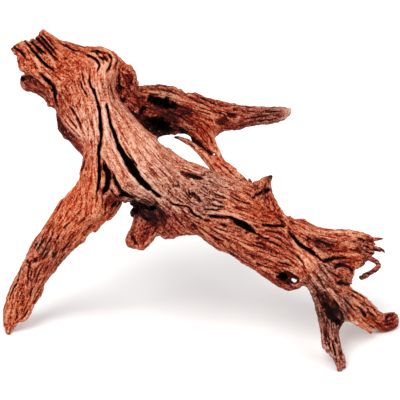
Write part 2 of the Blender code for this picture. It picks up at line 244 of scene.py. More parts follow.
# Thin limbs: (u, v, w, radius) along each.
THIN_LIMBS = {
    "branch_web": [
        (192, 137.0, -15, 2.0),
        (197, 142.0, -15, 3.2),
        (202, 146.6, -14, 3.8),
        (206, 149.6, -13, 3.2),
        (209.4, 151.4, -12, 2.0),
    ],
    "fork_end_top": [(356, 232.4, 2, 1.4), (364, 234.8, -1, 1.2), (370.6, 238.4, -4, 0.9)],
    "fork_end_high": [(362, 237, -2, 1.6), (368, 239.6, -4, 1.3), (374, 241.4, -6, 1.1), (381.5, 240.6, -7, 0.8)],
    "fork_end_mid": [(364, 243, -4, 1.5), (371, 245.4, -7, 1.3), (377, 247, -8, 1.1), (380.6, 249, -8, 0.8)],
    "fork_end_low": [(366, 248.6, -6, 1.4), (373, 250, -8, 1.2), (379.6, 251.6, -9, 1.1), (382.2, 256.6, -10, 0.8)],
    "fork_end_foot": [(362, 254.4, -3, 1.4), (369, 255.4, -7, 1.2), (375, 257, -9, 0.9)],
    "twig": [
        (173.5, 137.3, -16, 1.3),
        (179, 138, -16, 2.1),
        (186, 141, -15, 2.8),
        (193, 145.5, -13, 3.3),
        (200, 151, -10, 4.0),
        (206, 157, -7, 4.6),
        (213, 165, -2, 5.2),
        (221, 174, 4, 6.0),
        (228, 182, 8, 6.0),
    ],
    "hook": [
        (352, 254, -12, 3.2),
        (360, 256, -14, 2.9),
        (367, 257.6, -15, 2.6),
        (373, 260.4, -16, 2.6),
        (378.6, 263.8, -16, 2.5),
        (378, 266.8, -15, 2.7),
        (374.6, 270.2, -14, 2.8),
        (369.6, 273.3, -14, 2.8),
        (364.6, 276, -14, 2.7),
        (359.6, 278.4, -13, 2.3),
    ],
    "strand": [
        (268, 260, 14, 5.0),
        (277, 280, 9, 4.2),
        (287, 286.8, 6, 2.6),
        (294, 286.4, 5, 2.2),
        (301, 283, 4, 3.4),
        (307, 279, 2, 5.0),
    ],
    "foot_spur": [
        (345, 312, -20, 6.0),
        (357, 321, -34, 4.2),
        (366, 327, -44, 3.2),
        (371.5, 333, -49, 1.6),
    ],
    "spur_low": [(348, 314, -16, 4.0), (355, 322, -22, 2.6), (362, 327, -26, 2.0), (367, 328.5, -28, 1.2)],
    "fork_splinter_top": [(364, 240, -14, 2.4), (372, 239.6, -17, 1.6), (378, 238.8, -19, 1.1), (383.8, 238.3, -20, 0.8)],
    "fork_splinter_mid": [(366, 244, -14, 2.4), (375, 245, -17, 1.5), (381.8, 245.6, -19, 0.8)],
    "fork_splinter_low": [(372, 249, -16, 2.2), (379, 249, -19, 1.4), (383.4, 251, -20, 1.2), (385.6, 257, -20, 0.7)],
    "fork_splinter_down": [(371, 250, -13, 1.8), (379, 251, -14, 1.3), (382.6, 256.4, -14, 0.7)],
    "fork_hair": [(357, 266.5, -8, 1.0), (360.5, 271, -10, 0.65), (364, 274.6, -13, 0.6)],
    "fork_flake": [(352, 234, 2, 2.2), (362, 236.6, -2, 1.6), (370, 239.6, -6, 1.2), (376, 243.6, -9, 0.7)],
    "fork_flake_low": [(358, 258, 0, 2.2), (365, 254.6, -4, 1.5), (372, 251.6, -8, 1.2), (378.6, 247.6, -11, 0.7)],
    "block_tendon": [(352, 262, 4, 1.6), (353.4, 268, 4, 1.2), (353.2, 274, 4, 1.1), (352, 280, 3, 1.4)],
    "leg_splinter": [(110, 213, 28, 2.4), (104, 221, 26, 1.5), (99.5, 227, 23, 1.1), (95, 231.8, 21, 0.7)],
    "leg_hair": [(12, 303, -50, 1.8), (6.5, 298, -50, 1.0), (4, 291.6, -50, 0.6)],
    "leg_splinter_low": [(68, 256, -10, 2.0), (63, 262.5, -13, 1.2), (60.5, 266.5, -14, 0.7)],
    "crown_fray": [(24, 57, 58, 1.8), (17.5, 54.5, 58, 1.0), (13, 54.3, 57, 0.6)],
    "crown_splinter": [(54, 103, 58, 2.0), (50.5, 105, 58, 1.2), (47, 106, 58, 0.7)],
    "shoulder_thorn": [(122, 68, 36, 2.0), (122.8, 64, 36, 1.1), (123.2, 61.3, 36, 0.6)],
    "shoulder_chip": [(133, 86, 26, 2.2), (136, 84, 26, 1.2), (137.6, 82.3, 26, 0.7)],
    "trunk_splinter": [(252, 188, 34, 2.2), (250, 181, 34, 1.3), (248, 175.8, 34, 0.7)],
    "saddle_splinter": [(283, 221, 12, 2.6), (288, 217.5, 12, 1.5), (293.5, 214.8, 11, 0.7)],
    "tendon": [
        (277, 208, 24, 2.6),
        (284, 218, 26, 2.6),
        (288, 227, 27, 2.6),
        (293, 239, 26, 2.6),
        (299, 251, 24, 2.8),
        (306, 262, 22, 3.0),
        (314, 275, 19, 3.2),
        (322, 290, 15, 3.4),
        (330, 302, 11, 3.6),
    ],
    "tendon_low": [
        (276, 226, 28, 2.4),
        (286, 238, 28, 2.4),
        (294, 252, 26, 2.4),
        (302, 265, 23, 2.6),
        (309, 280, 19, 2.8),
        (315, 294, 15, 3.0),
    ],
}

# Hollows: (u, v, w, half length, half height, half depth, turn in degrees, roughness of the rim).
HOLLOWS = (
    (162, 102.6, 14, 17, 6.0, 20, 8, 3.2),
    (158, 125, 16, 18, 8.4, 20, 22, 3.6),
    (142, 112, 20, 5, 6, 9, 30, 3.0),
    (146, 206, 40, 13, 4.0, 11, 20, 3.4),
    (135.6, 207, 40, 8, 5.4, 20, 60, 3.0),
    (22.5, 78, 60, 4.2, 3.2, 10, 20, 1.6),
    (103.5, 170, 62, 2.6, 8.0, 16, 0, 1.2),
    (106.5, 184, 56, 2.0, 9.0, 16, 8, 1.0),
    (121, 195, 50, 2.6, 7.0, 14, 60, 1.0),
    (283, 276.6, 24, 8, 3.4, 9, 8, 2.6),
)

# Shallow hollows drawn on the elevation: (depth, softness of the edge, darkness of the shade painted into the hollow,
# outline).
RECESSES = [
    (7, 1.5, 0.35, [(55, 112), (57.5, 113), (60, 117.5), (63, 122), (70, 130), (77, 136), (84, 143), (85.5, 150), (83, 157), (75, 149), (68, 142), (60, 135), (54, 124)]),
    (2.5, 2.0, 0.85, [(18, 76), (22, 75.4), (25.5, 74.6), (27, 77), (25, 80), (22, 81.5), (19, 80)]),
    (1.5, 3.0, 0.4, [(25, 75), (31, 75), (34, 78), (31, 82), (27, 82), (24, 80)]),
    (3, 3.0, 0.85, [(146, 97), (152, 95.6), (162, 97), (170, 99), (178, 102), (186, 106), (184, 109), (176, 109.6), (166, 108.8), (156, 108.4), (149, 105.6), (146, 101)]),
    (3, 4.0, 0.6, [(135, 110), (143, 111.6), (150, 115.6), (160, 121), (168, 125.6), (178, 129.4), (177, 133), (170, 135), (160, 137), (155, 141), (148, 136), (141, 128), (135, 119)]),
    (3, 4.0, 0.5, [(129, 200), (140, 198.6), (150, 199), (158, 203), (166, 210), (170, 218), (168, 226), (160, 230), (152, 227), (146, 222), (140, 218), (134, 214), (128, 209)]),
    (5, 6.0, 0.12, [(299, 237), (308, 234), (318, 235), (330, 236.4), (345, 237.4), (358, 239.4), (364, 244), (366.4, 251), (360, 255), (350, 255.4), (338, 254.4), (326, 256), (318, 258.4), (311, 253), (304, 246)]),
    (7, 1.6, 0.9, [(319, 264), (322, 260), (328, 257), (336, 255.8), (346, 256.6), (347, 259.4), (338, 260), (330, 262), (324, 264.8)]),
    (7, 1.6, 0.9, [(332.6, 267.6), (337, 263.4), (343, 262), (348, 264.4), (352.6, 269), (354, 276), (351, 274), (348, 268.6), (343, 266.4), (338, 267.6), (335, 270)]),
    (5, 1.6, 0.8, [(333, 278.6), (340, 280.6), (348, 282.6), (350, 287), (342, 287), (336, 285.6)]),
    (9, 2.6, 1.0, [(321, 298), (324.6, 299), (330, 305), (335, 312), (340, 320), (341.4, 324.4), (337.6, 327), (332, 324), (327, 318.6), (323, 310.5)]),
    (5, 5.0, 0.50, [(312, 287), (321, 287), (330, 292), (339, 302), (346, 313), (348, 321), (343, 327), (334, 328), (326, 321), (318.6, 307), (314, 296)]),
    (0.8, 6.0, 0.42, [(133, 92), (146, 94), (170, 98), (188, 104), (197, 110), (190, 116), (180, 122), (183, 130), (172, 136), (160, 138), (146, 134), (136, 122), (130, 106)]),
    (2, 4.0, 0.30, [(311, 235), (318, 236), (322, 243), (321, 252), (316, 254), (312, 247)]),
    (2.5, 4.0, 0.38, [(353, 246), (359, 243.6), (365, 246), (366, 252), (360, 254.6), (354, 252)]),
    (8, 1.8, 0.95, [(250.6, 199), (253.6, 194), (258, 191.6), (263, 189), (268, 187.6), (270.4, 190), (268, 192.6), (263, 193.4), (260, 196), (256.4, 197.4), (253, 200.4)]),
    (5, 3.0, 0.65, [(275, 279), (278.6, 273.2), (285, 271.6), (292, 273.6), (298.6, 277), (299.6, 282.4), (296, 285.6), (290, 285), (284, 283.6), (279, 284)]),
    (14, 1.7, 1.0, [(224, 215.4), (232, 214.8), (240, 218), (247, 223.4), (252.4, 228.6), (257, 235), (250.4, 233.4), (243, 230), (235, 225.4), (228, 219.8)]),
    (9, 1.3, 1.0, [(261.6, 223.6), (270, 223.2), (278, 223.8), (285.4, 225), (285, 228), (278, 228.4), (270, 227.6), (263, 226.2)]),
    (5, 1.5, 0.95, [(130, 233.4), (134, 234.4), (137.4, 241), (138.6, 246.4), (135, 245.4), (132, 240)]),
    (5, 1.8, 0.85, [(176.4, 169.6), (182, 170.6), (188, 172.6), (195, 174.4), (201, 176.6), (204.6, 179.6), (199, 181), (193, 180.4), (187, 178.8), (181, 175.4)]),
    (2.0, 4.0, 0.15, [(200, 184), (206, 187), (214, 189), (222, 189), (223, 192), (214, 193), (205, 191)]),
    (2.5, 1.8, 0.9, [(176, 126.4), (181, 126.2), (188, 130.6), (195, 136.6), (201, 142.6), (207, 148.6), (212.6, 152), (212.6, 155), (209, 156), (203, 151), (196, 145), (188, 138.4), (180, 134)]),
    (3, 2.4, 0.45, [(214.6, 119), (221, 117), (226, 118.6), (226.4, 123), (221, 126), (215, 125)]),
    (3.5, 2.2, 0.6, [(226, 113.6), (232, 112.4), (237.4, 114.6), (236.6, 119), (230, 121), (225.6, 118.6)]),
    (2, 1.8, 0.5, [(230.6, 107.6), (238, 107.2), (239.4, 111), (233, 112.8)]),
    (4, 3.0, 0.5, [(123.6, 74), (127, 72), (131, 73), (134, 78), (135.4, 84), (131, 88.4), (127, 86), (124.4, 81)]),
    (2, 2.4, 0.3, [(118, 84), (124, 88), (123.6, 93), (119, 96), (116.6, 90)]),
    (4, 1.6, 0.8, [(120.6, 97.6), (125, 97.4), (126, 102), (122, 104), (119.8, 101)]),
    (2, 2.4, 0.4, [(50.6, 250), (55, 250.6), (58.4, 255), (56, 259.4), (51.6, 257)]),
    (2.5, 2.0, 0.6, [(31.6, 257.6), (38, 257.4), (39.6, 262), (34, 263.6)]),
    (3, 1.6, 0.6, [(352, 303.6), (357, 304.6), (362.6, 308.6), (367.4, 315), (365.4, 317), (360.6, 312.6), (356, 308)]),
    (2.5, 3.0, 0.35, [(383.6, 317), (388, 313.8), (393, 314.2), (396.4, 319), (395.4, 325), (390, 329), (384.6, 326.4), (382.6, 321)]),
    (3, 4.0, 0.15, [(24, 86), (32, 87), (42, 90), (50, 98), (56, 106), (52, 109), (44, 102), (34, 95), (25, 94)]),
    (3, 2.4, 0.4, [(104, 196), (112, 193), (118, 197), (112, 206), (104, 212), (102, 204)]),
    (2, 2.0, 0.35, [(274, 211), (279, 214), (284, 221), (287, 227), (283, 229), (278, 222), (273, 215)]),
]

# The outline that the front elevation shows, and the windows in it.
OUTLINE = [
    (10, 47), (11.5, 45.5), (14, 45), (15.5, 43.5), (17, 42), (19, 41.5), (21, 43), (24.2, 46.4), (25, 40), (27, 41.4),
    (29.4, 45.4), (30.5, 40), (33, 38.8), (35.4, 42.4), (36.5, 37), (38.5, 36.5), (40, 34.8), (40.3, 32.5), (42, 30),
    (43.5, 28.8), (46, 31), (50, 34), (56, 37), (60, 40.5), (66, 41.5), (72, 43), (78, 44.5), (83, 47.5), (90, 47.5),
    (100, 47), (107, 49), (113, 51.5), (118, 56), (121, 60), (121.6, 63), (122.6, 61), (123.8, 61), (124.2, 64),
    (128, 64.5), (131, 66), (133.3, 69), (136, 74), (137.3, 79), (136.6, 81.6), (138.4, 81.6), (137.6, 86), (145, 86),
    (152, 85.5), (160, 84.5), (165, 86), (170, 87), (175, 87), (178, 90), (180, 89.5), (183, 92), (186, 95), (188, 93),
    (192, 93.5), (195, 92.5), (200, 95), (207, 98), (215, 100), (225, 102), (230, 103), (240, 105), (250, 106),
    (258, 107.5), (270, 107.5), (280, 107), (291, 107.5), (292.7, 109), (292, 111), (290, 115), (287, 117),
    (284, 119.5), (280, 121), (272, 123), (262, 124), (252, 125.5), (244, 127), (240, 129), (230, 130), (224, 131),
    (219, 134), (216, 136), (214.7, 139), (216.5, 144), (219.5, 150), (222.5, 157), (225.5, 161.5), (230, 164.5),
    (235, 168.5), (237.5, 172.5), (241, 174.6), (244, 177.6), (247, 180.5), (247.2, 175), (248.8, 175), (250.3, 183),
    (252, 183.6), (255.3, 181), (258, 181), (262, 178.6), (266, 176.6), (270, 175.4), (272, 174), (274, 173.8),
    (273.2, 177), (270.9, 180), (270.6, 185), (271.6, 193), (275.6, 200), (280.5, 210), (283, 213.4), (285.4, 216),
    (288, 216), (290.5, 214), (294.5, 214), (292, 217), (292, 219.6), (296, 219.6), (305, 219.6), (308, 222.6),
    (314, 225.6), (325, 228.6), (335, 229.6), (340, 229), (353, 230.6), (365, 233.6), (370, 235.6), (371.4, 237.8),
    (368.6, 239.4), (371.6, 241.6), (372.6, 243.2), (369.6, 244.6), (372.8, 246.6), (373.8, 248.6), (371.4, 250.4),
    (374.2, 252.6), (373.8, 254.6), (370.6, 255.4), (371.4, 257.6), (368.6, 257.8), (366, 261), (363.4, 266), (358.6, 268.8),
    (353.6, 268.6), (354.4, 273), (354, 278), (355.2, 281.6), (352.4, 284.2), (349, 282.6), (345, 280.8), (348, 284.2),
    (350.6, 287), (352.6, 289.4), (357, 292.4), (365, 296.4), (370, 301.4), (375.4, 306.4), (378.4, 311.4),
    (384, 314), (388, 312.4), (392, 311.4), (396.5, 313), (399, 317), (399.4, 321), (398.3, 325.4), (396, 329),
    (390, 332.5), (384, 334.2), (378, 331), (373.6, 329.4), (375, 335), (371.5, 335), (368, 330), (366, 330),
    (358, 328), (357, 325), (352, 323), (345, 321.5), (342.4, 325.4), (339.8, 328), (338.2, 331), (338.2, 336),
    (340.4, 341), (342.4, 348), (345, 356), (346.8, 361.6), (344.8, 364.6), (345.8, 369), (342.8, 366.8), (341.4, 370.4), (339.8, 368.2), (338.2, 372.4), (336.8, 369),
    (335.2, 361), (332.8, 356.4), (330, 355), (325.6, 350.4), (321.6, 348), (321.2, 337), (320.2, 328), (318.7, 320),
    (317.2, 313), (315.2, 305), (312.2, 297), (310.2, 290.8), (308, 287.4), (304, 284.6), (300, 286.6), (299, 289),
    (294, 289.2), (288, 291.2), (278, 285.6), (270, 280.6), (262, 275.6), (256, 270.6), (250, 267.6), (240, 262.6),
    (235, 256.6), (225, 251.6), (218, 250.6), (210, 244.6), (208, 242.3), (204, 239.3), (200, 236.6), (196, 234.6),
    (191, 235.6), (186, 234.6), (181, 235), (176, 236.6), (172, 239.6), (168, 241.6), (165, 239.6), (163, 237.6),
    (161, 234.8), (158, 235.2), (155, 236.8), (153, 240.3), (150, 243.6), (147, 247.6), (144, 250.6), (137, 251),
    (131, 250), (126.6, 247), (125, 242), (125, 238), (127.6, 234.4), (130.6, 229.4), (132.2, 226), (134.2, 219),
    (134.8, 215.4), (132, 216.8), (128.6, 212.5), (129, 206), (131.4, 200.8), (126, 202.5), (120.2, 205.7),
    (115.5, 212.5), (112.5, 218.6), (108, 220.6), (103.8, 218.6), (101.6, 219.8), (101.2, 224), (100.5, 227.5),
    (95.2, 233), (94, 232), (96, 228.6), (92, 230.6), (88.3, 233.6), (84.6, 238.6), (84.6, 240.6), (79.6, 244.6),
    (77.6, 247.6), (76.3, 249.6), (71.6, 254.6), (66.6, 260.6), (61, 267.3), (59.8, 266.6), (58.3, 265.6),
    (55.6, 270.6), (51.6, 274.6), (48.6, 277.6), (44.6, 283.6), (43.2, 286), (43.8, 291), (41.6, 295.6), (37.6, 300.6),
    (34.6, 304.6), (32.6, 308.6), (30.6, 313.6), (27.6, 318.6), (23.6, 322.6), (21, 322.6), (19.5, 320.6),
    (18.4, 321.6), (15.6, 325.6), (12, 329), (10.3, 329.2), (9.2, 336.6), (7.4, 336), (5.6, 331.3), (3.5, 325.3),
    (2.5, 318), (2.5, 307), (4.4, 300.5), (4.4, 298), (3.2, 291), (4.8, 291), (6.2, 294), (9.4, 289), (14.4, 279),
    (19.4, 270), (24.4, 260), (29.4, 250), (34.4, 240), (39.4, 232), (47.4, 222), (54.4, 211), (57.4, 205),
    (67.4, 194), (73, 188), (77, 184), (79, 179), (80, 174), (81, 168), (83, 161), (84, 157), (80, 152), (75, 147),
    (70, 141), (65, 138), (62, 133), (59, 129), (57, 120), (56.5, 112), (57, 110.5), (56, 109.5), (53, 107.4),
    (49, 106.6), (46, 107), (46.4, 105), (48, 103.4), (44, 99.4), (40, 95.4), (35, 92.8), (30, 90.8), (27.5, 92.4),
    (24, 88.8), (20.7, 84), (19, 80), (18.8, 77), (22.5, 76), (25.5, 74.5), (24, 72.5), (20, 70.4), (18.3, 66),
    (17.7, 58), (16, 55), (12.4, 54.8), (13.6, 52.8), (12.6, 51),
]
WINDOWS = [
    [
        (155.5, 140), (157.5, 137.3), (160, 136.2), (165, 135.2), (172, 134), (174.5, 134.4), (173, 136.4), (172.6, 137.6),
        (174, 138.8), (176, 139.3), (183, 141.5), (190, 146.3), (197, 152.3), (204, 158.3), (208, 162.3), (211, 167.3),
        (215, 171.3), (219, 174.3), (221.5, 175.6), (213, 172.5), (208, 169.5), (203, 166.5), (197, 164.5), (192, 162.5),
        (187, 161.5), (182, 158.5), (177, 153.5), (170, 148.5), (163, 145.5), (158, 142.5),
    ],
    [(174.5, 134.4), (177, 133.3), (183, 134.8), (190, 138.3), (196, 143.2), (192.5, 142), (188, 139.4), (183, 137.2), (178, 135.9), (175, 135.9)],
    [(210.6, 155.5), (212.3, 152.8), (216.2, 153), (215.2, 156)],
    [(290.2, 278.6), (293, 276.8), (297.2, 278.8), (298.2, 282), (294.6, 283.4), (291.2, 281.8)],
    [(22.0, 41.0), (24.8, 42.4), (28.0, 45.6), (26.8, 47.0), (22.8, 44.6)],
]

# Cracks and grooves: (half width, depth, darkness of the shade painted into the crack, the line on the elevation).
STROKES = [
    # crown
    (1.3, 7.5, 1.0, [(6, 41), (12, 45), (17, 49), (21, 52), (24, 56), (27, 60)]),
    (0.7, 3, 0.7, [(20, 55), (24, 61)]),
    (1.1, 14, 1.0, [(10, 24), (18, 33), (26, 42), (30, 47), (34, 52), (42, 61), (50, 68), (54, 71), (60, 76)]),
    (0.6, 8.5, 1.0, [(19, 32), (25, 37), (31, 42), (38, 48), (45, 53), (49, 56)]),
    (0.8, 10, 1.0, [(28, 31), (34, 36), (40, 42), (47, 49), (54, 57), (59.5, 62)]),
    (0.6, 8.5, 1.0, [(30, 25), (37, 32), (44, 40), (50, 47), (56, 54), (60, 57.5)]),
    (0.9, 4, 0.8, [(35, 24), (41, 31), (47, 38), (53, 45), (57, 50)]),
    (1.0, 4, 0.8, [(24, 33), (29, 38), (34, 44), (40, 52), (46, 58)]),
    (0.9, 4, 0.7, [(14, 38), (18, 42), (22, 46), (28, 52), (33, 57)]),
    (1.0, 4, 0.8, [(8, 36), (14, 41), (20, 47), (26, 53), (32, 60), (38, 68)]),
    (1.1, 6, 1.0, [(56, 38), (62, 44), (67, 46), (71, 49), (76, 51), (80, 50), (83, 49)]),
    (0.9, 3, 0.8, [(70, 50), (75, 53.5), (79, 54.5)]),
    (1.5, 11, 1.0, [(39, 72), (46, 79), (52, 85), (54.5, 90), (55, 95), (57, 104)]),
    (0.8, 4, 0.8, [(33, 62), (36, 67), (39, 70)]),
    (0.8, 4, 0.7, [(40, 66), (47, 72), (54, 78)]),
    (0.8, 4, 0.6, [(45, 84), (50, 89), (53, 94)]),
    (1.0, 3, 0.6, [(34, 88), (42, 91), (48, 98)]),
    (1.6, 5, 0.9, [(18.6, 75.6), (23, 77.4), (29, 76), (35, 78.6)]),
    (1.0, 3, 0.7, [(24, 60), (20, 66), (21, 72)]),
    (0.9, 3, 0.7, [(30, 62), (34, 64), (36, 70), (33, 74)]),
    (0.8, 2, 0.5, [(61, 70.5), (66, 71.5), (70, 71)]),
    (0.7, 2, 0.5, [(60, 74), (67, 75)]),
    (1.0, 2, 0.7, [(75, 61), (76.5, 64)]),
    (0.8, 2, 0.6, [(78, 66), (75, 71), (75, 75)]),
    (1.4, 3, 0.8, [(60, 85), (62, 84)]),
    (1.2, 3, 0.7, [(61, 92), (64, 95)]),
    (1.0, 3, 0.7, [(67, 95), (68, 103)]),
    (0.8, 3, 0.6, [(58, 96), (60, 102), (64, 108)]),
    # shoulder
    (1.5, 9, 1.0, [(89.5, 65), (90, 72), (89.5, 80), (91, 86), (94, 91), (96, 97), (98, 104), (99.5, 110), (100, 118), (100.5, 125), (101, 130), (101.5, 138), (101.6, 146), (100.4, 153)]),
    (1.4, 11, 1.0, [(99, 136), (98.6, 150), (99, 158), (99, 167), (99.5, 175), (98.5, 185), (97, 193), (96, 204)]),
    (1.2, 8, 1.0, [(106.5, 103), (108, 112), (109.5, 120)]),
    (1.1, 14, 1.0, [(109, 116), (110.4, 124), (112.6, 130), (114.4, 136)]),
    (1.7, 18, 1.0, [(112, 127), (114.4, 134), (116.6, 141), (119.6, 148.4)]),
    (2.3, 20, 1.0, [(116.6, 141), (119.6, 148), (124, 155.5), (128.4, 162.6)]),
    (3.4, 25, 1.0, [(125, 156.6), (130, 165), (134, 171.5), (139.6, 179)]),
    (2.8, 20, 1.0, [(136, 174.4), (141, 180.5), (146.5, 185.6), (151.6, 190)]),
    (1.5, 12, 1.0, [(147.6, 187), (153, 191.3), (157, 194.4), (161.4, 197.8)]),
    (1.2, 5, 0.9, [(124, 148), (129, 154), (134, 161), (138, 168)]),
    (1.0, 5, 0.9, [(80, 79), (82, 86), (85, 92), (87.5, 97)]),
    (0.7, 3, 0.7, [(82, 67), (83, 76), (84, 82), (85.5, 87)]),
    (1.0, 4, 0.8, [(103, 77), (103, 84), (104, 92), (105.5, 101)]),
    (1.0, 4, 0.8, [(110, 80), (111, 88), (113, 94), (114, 98), (116, 104)]),
    (1.2, 8, 0.84, [(82, 53), (88, 56), (93, 58), (97, 60.5), (99.5, 64.5), (98.5, 69), (96, 73)]),
    (0.9, 7.5, 0.84, [(88, 51), (95, 52), (99, 56), (103, 60), (104, 64.5)]),
    (1.0, 7.5, 0.84, [(93, 50), (101, 53), (105, 58), (107, 61.5), (108, 65)]),
    (1.1, 8, 0.84, [(100, 51.4), (104, 53), (107, 53.5), (110.5, 56.5), (111.5, 61), (109.5, 67), (105, 74)]),
    (0.8, 3, 0.7, [(116, 65.5), (112, 73)]),
    (0.9, 6, 0.84, [(110.6, 50.6), (114, 53), (117, 57.4), (117, 62), (114, 67.4), (108, 72)]),
    (1.2, 5, 0.9, [(64, 112), (72, 122), (78, 130)]),
    (1.5, 5, 0.9, [(69, 105), (76, 115), (80, 123), (82, 130)]),
    (1.0, 4, 0.9, [(80, 99), (80, 112)]),
    (0.8, 4, 0.8, [(84, 105), (87, 118), (88, 128), (88.5, 142)]),
    (0.9, 4, 0.8, [(60, 114), (66, 122), (73, 130), (80, 137), (84, 143)]),
    (0.6, 3, 0.6, [(76, 104), (80, 116), (83, 126)]),
    (0.7, 3, 0.7, [(91.5, 138), (91.5, 145)]),
    (0.7, 3, 0.8, [(97.5, 136), (98, 143)]),
    (1.4, 4, 0.9, [(87, 151), (85, 158), (83.5, 166), (81, 174)]),
    (0.6, 2, 0.4, [(108, 78), (109, 90), (111, 100), (116, 112)]),
    (0.6, 2, 0.4, [(96, 76), (98, 88), (102, 98), (105, 110)]),
    (0.6, 2, 0.4, [(118, 110), (124, 118), (131, 126)]),
    (0.8, 3, 0.7, [(130, 120), (133, 124)]),
    (0.7, 2, 0.5, [(121, 112), (130, 128), (139, 137), (148, 146)]),
    (1.2, 2.5, 0.7, [(146, 142), (149, 146)]),
    (0.7, 2, 0.5, [(118, 128), (122, 136), (128, 144)]),
    (0.6, 2, 0.5, [(133, 132), (140, 142), (148, 152), (156, 160)]),
    (0.6, 2, 0.5, [(136, 146), (144, 156), (151, 166)]),
    (0.7, 2, 0.6, [(155, 153), (162, 160), (171, 168)]),
    (0.7, 2, 0.6, [(144, 160), (150, 168), (158, 177)]),
    (0.6, 2, 0.5, [(141, 168), (147, 176), (156, 184), (163, 190)]),
    (0.6, 2, 0.5, [(104, 120), (106, 132), (110, 146), (118, 160), (126, 172), (136, 182)]),
    (0.6, 2, 0.4, [(92, 150), (92, 165), (91, 182), (90, 196)]),
    (0.6, 2, 0.4, [(87, 165), (86, 180), (85, 192)]),
    (0.6, 2, 0.5, [(111, 150), (116, 160), (122, 170), (128, 180)]),
    (0.8, 3, 0.6, [(119, 170), (124, 178), (130, 186), (138, 190)]),
    # between trunk and left leg
    (2.6, 16, 1.0, [(104, 162), (106, 168), (108.5, 174), (108.5, 180), (107.5, 186), (104, 191), (102, 196)]),
    (1.6, 9, 1.0, [(101, 163), (100.5, 170), (100, 176)]),
    (1.9, 9, 1.0, [(110.5, 169), (113, 175), (115, 181), (119, 188), (124, 193), (130, 196.5), (137, 197)]),
    (1.4, 7, 1.0, [(110, 187), (113, 194), (119, 199)]),
    (1.8, 7, 1.0, [(118, 199), (113, 206), (110, 210)]),
    (1.2, 5, 0.9, [(102, 196), (103, 203), (102, 210)]),
    (0.8, 4, 0.7, [(106, 200), (105, 207), (104, 213)]),
    (0.7, 3, 0.7, [(126, 197), (120, 203), (114, 211)]),
    (0.5, 9, 1.0, [(100.6, 124), (101.2, 134), (100.8, 142), (99.6, 150), (99.2, 157)]),
    # left leg
    (1.1, 6, 0.85, [(86, 192), (86, 200), (86.5, 207), (86.5, 213), (85, 217), (81, 221), (76, 224)]),
    (0.9, 4, 0.9, [(82, 203), (81, 209), (79, 213), (76, 215)]),
    (1.0, 4, 0.9, [(96, 196), (95.5, 208)]),
    (1.2, 4, 0.9, [(90, 209), (92, 215)]),
    (1.1, 4.5, 0.8, [(77, 214), (73, 219), (70, 222), (66, 226), (63, 229), (61, 232)]),
    (1.7, 5, 1.0, [(62, 212), (61, 217), (58, 222)]),
    (0.9, 5.5, 0.78, [(57, 225), (54, 229), (52, 236), (50, 240), (48, 243), (46, 247), (44, 251), (41, 255), (39, 258), (36, 261)]),
    (0.8, 5.5, 0.78, [(62, 229), (58, 237), (55, 242), (52, 247), (49, 252), (46, 257), (43, 260)]),
    (1.0, 6, 0.9, [(70, 240), (67, 245), (64, 249), (61, 253)]),
    (1.0, 4, 0.9, [(45, 236), (43, 241), (41, 244), (39, 248), (37, 251)]),
    (0.8, 3, 0.8, [(38, 241), (36, 245), (34, 249)]),
    (1.6, 4, 0.9, [(52, 251), (54, 256)]),
    (1.2, 4, 0.7, [(33, 258), (38, 261)]),
    (1.5, 4, 0.9, [(26, 260), (29, 263)]),
    (1.0, 6, 0.8, [(49, 250), (44, 258), (41, 263), (38, 267), (36, 270), (35, 274), (34, 278), (33, 282)]),
    (0.9, 5.5, 0.78, [(35, 251), (31, 261), (29, 268), (28, 273), (28.5, 279), (27.5, 284), (27, 289), (25, 294)]),
    (0.9, 5.5, 0.78, [(45, 263), (40, 270), (38, 275), (37, 279), (35, 284), (33, 288), (31.5, 291), (30.5, 295), (30, 298), (28, 301), (27.5, 306)]),
    (0.8, 3, 0.8, [(43, 275), (40, 280), (37, 284)]),
    (0.9, 5.5, 0.8, [(22, 264), (20, 270), (19, 277), (17, 283), (14, 288), (12, 292), (10.5, 297), (9.5, 302), (8.5, 307)]),
    (0.9, 5, 0.9, [(24, 280), (22, 287), (20.5, 292)]),
    (1.0, 5.5, 0.8, [(24, 288), (21, 296), (20, 302), (18, 307), (17, 312), (17.5, 316), (17, 320)]),
    (0.8, 3, 0.7, [(22, 308), (22, 314)]),
    (0.8, 3, 0.7, [(48, 268), (44, 273), (40, 277)]),
    (0.8, 3, 0.7, [(41, 285), (38, 290), (36, 294), (34, 298)]),
    (0.8, 5, 0.8, [(13, 300), (12, 308), (11, 316), (10, 324)]),
    (0.7, 3, 0.7, [(33, 268), (31, 276), (30.5, 284)]),
    (0.8, 3, 0.7, [(60, 247), (57, 252), (53, 259), (50, 264)]),
    (0.8, 5, 0.8, [(66, 252), (60, 259), (54, 266), (50, 271)]),
    (0.7, 2, 0.6, [(66, 199), (63, 205), (60, 210)]),
    (0.7, 2, 0.6, [(80, 186), (78, 196), (73, 205)]),
    (0.7, 2, 0.5, [(72, 207), (68, 212), (63, 220), (57, 228)]),
    (0.7, 2, 0.5, [(92, 200), (91, 206)]),
    (0.7, 2, 0.5, [(83, 226), (78, 231), (72, 236), (66, 243)]),
    (0.8, 2, 0.6, [(94, 222), (88, 228), (83, 234)]),
    (1.0, 5, 0.8, [(76, 249), (70, 257), (62, 265)]),
    (1.0, 5, 0.8, [(42, 286), (38, 296), (32, 305)]),
    (0.9, 5, 0.8, [(29, 308), (25, 315), (20, 320)]),
    (0.9, 5, 0.8, [(92, 208), (86, 216), (79, 222)]),
    # worn patch on the trunk
    (1.2, 5, 1.0, [(189, 190.6), (190.6, 194), (193.4, 197.6)]),
    (1.1, 5, 1.0, [(191.8, 189.4), (193.6, 193.4), (196.6, 197.4)]),
    (1.1, 5, 1.0, [(194.8, 192), (198, 197), (202, 201.6)]),
    (1.2, 5, 1.0, [(175.6, 183), (178, 185), (180.6, 187.4)]),
    (1.0, 4, 0.9, [(205, 197), (211, 200), (218, 201), (224, 205)]),
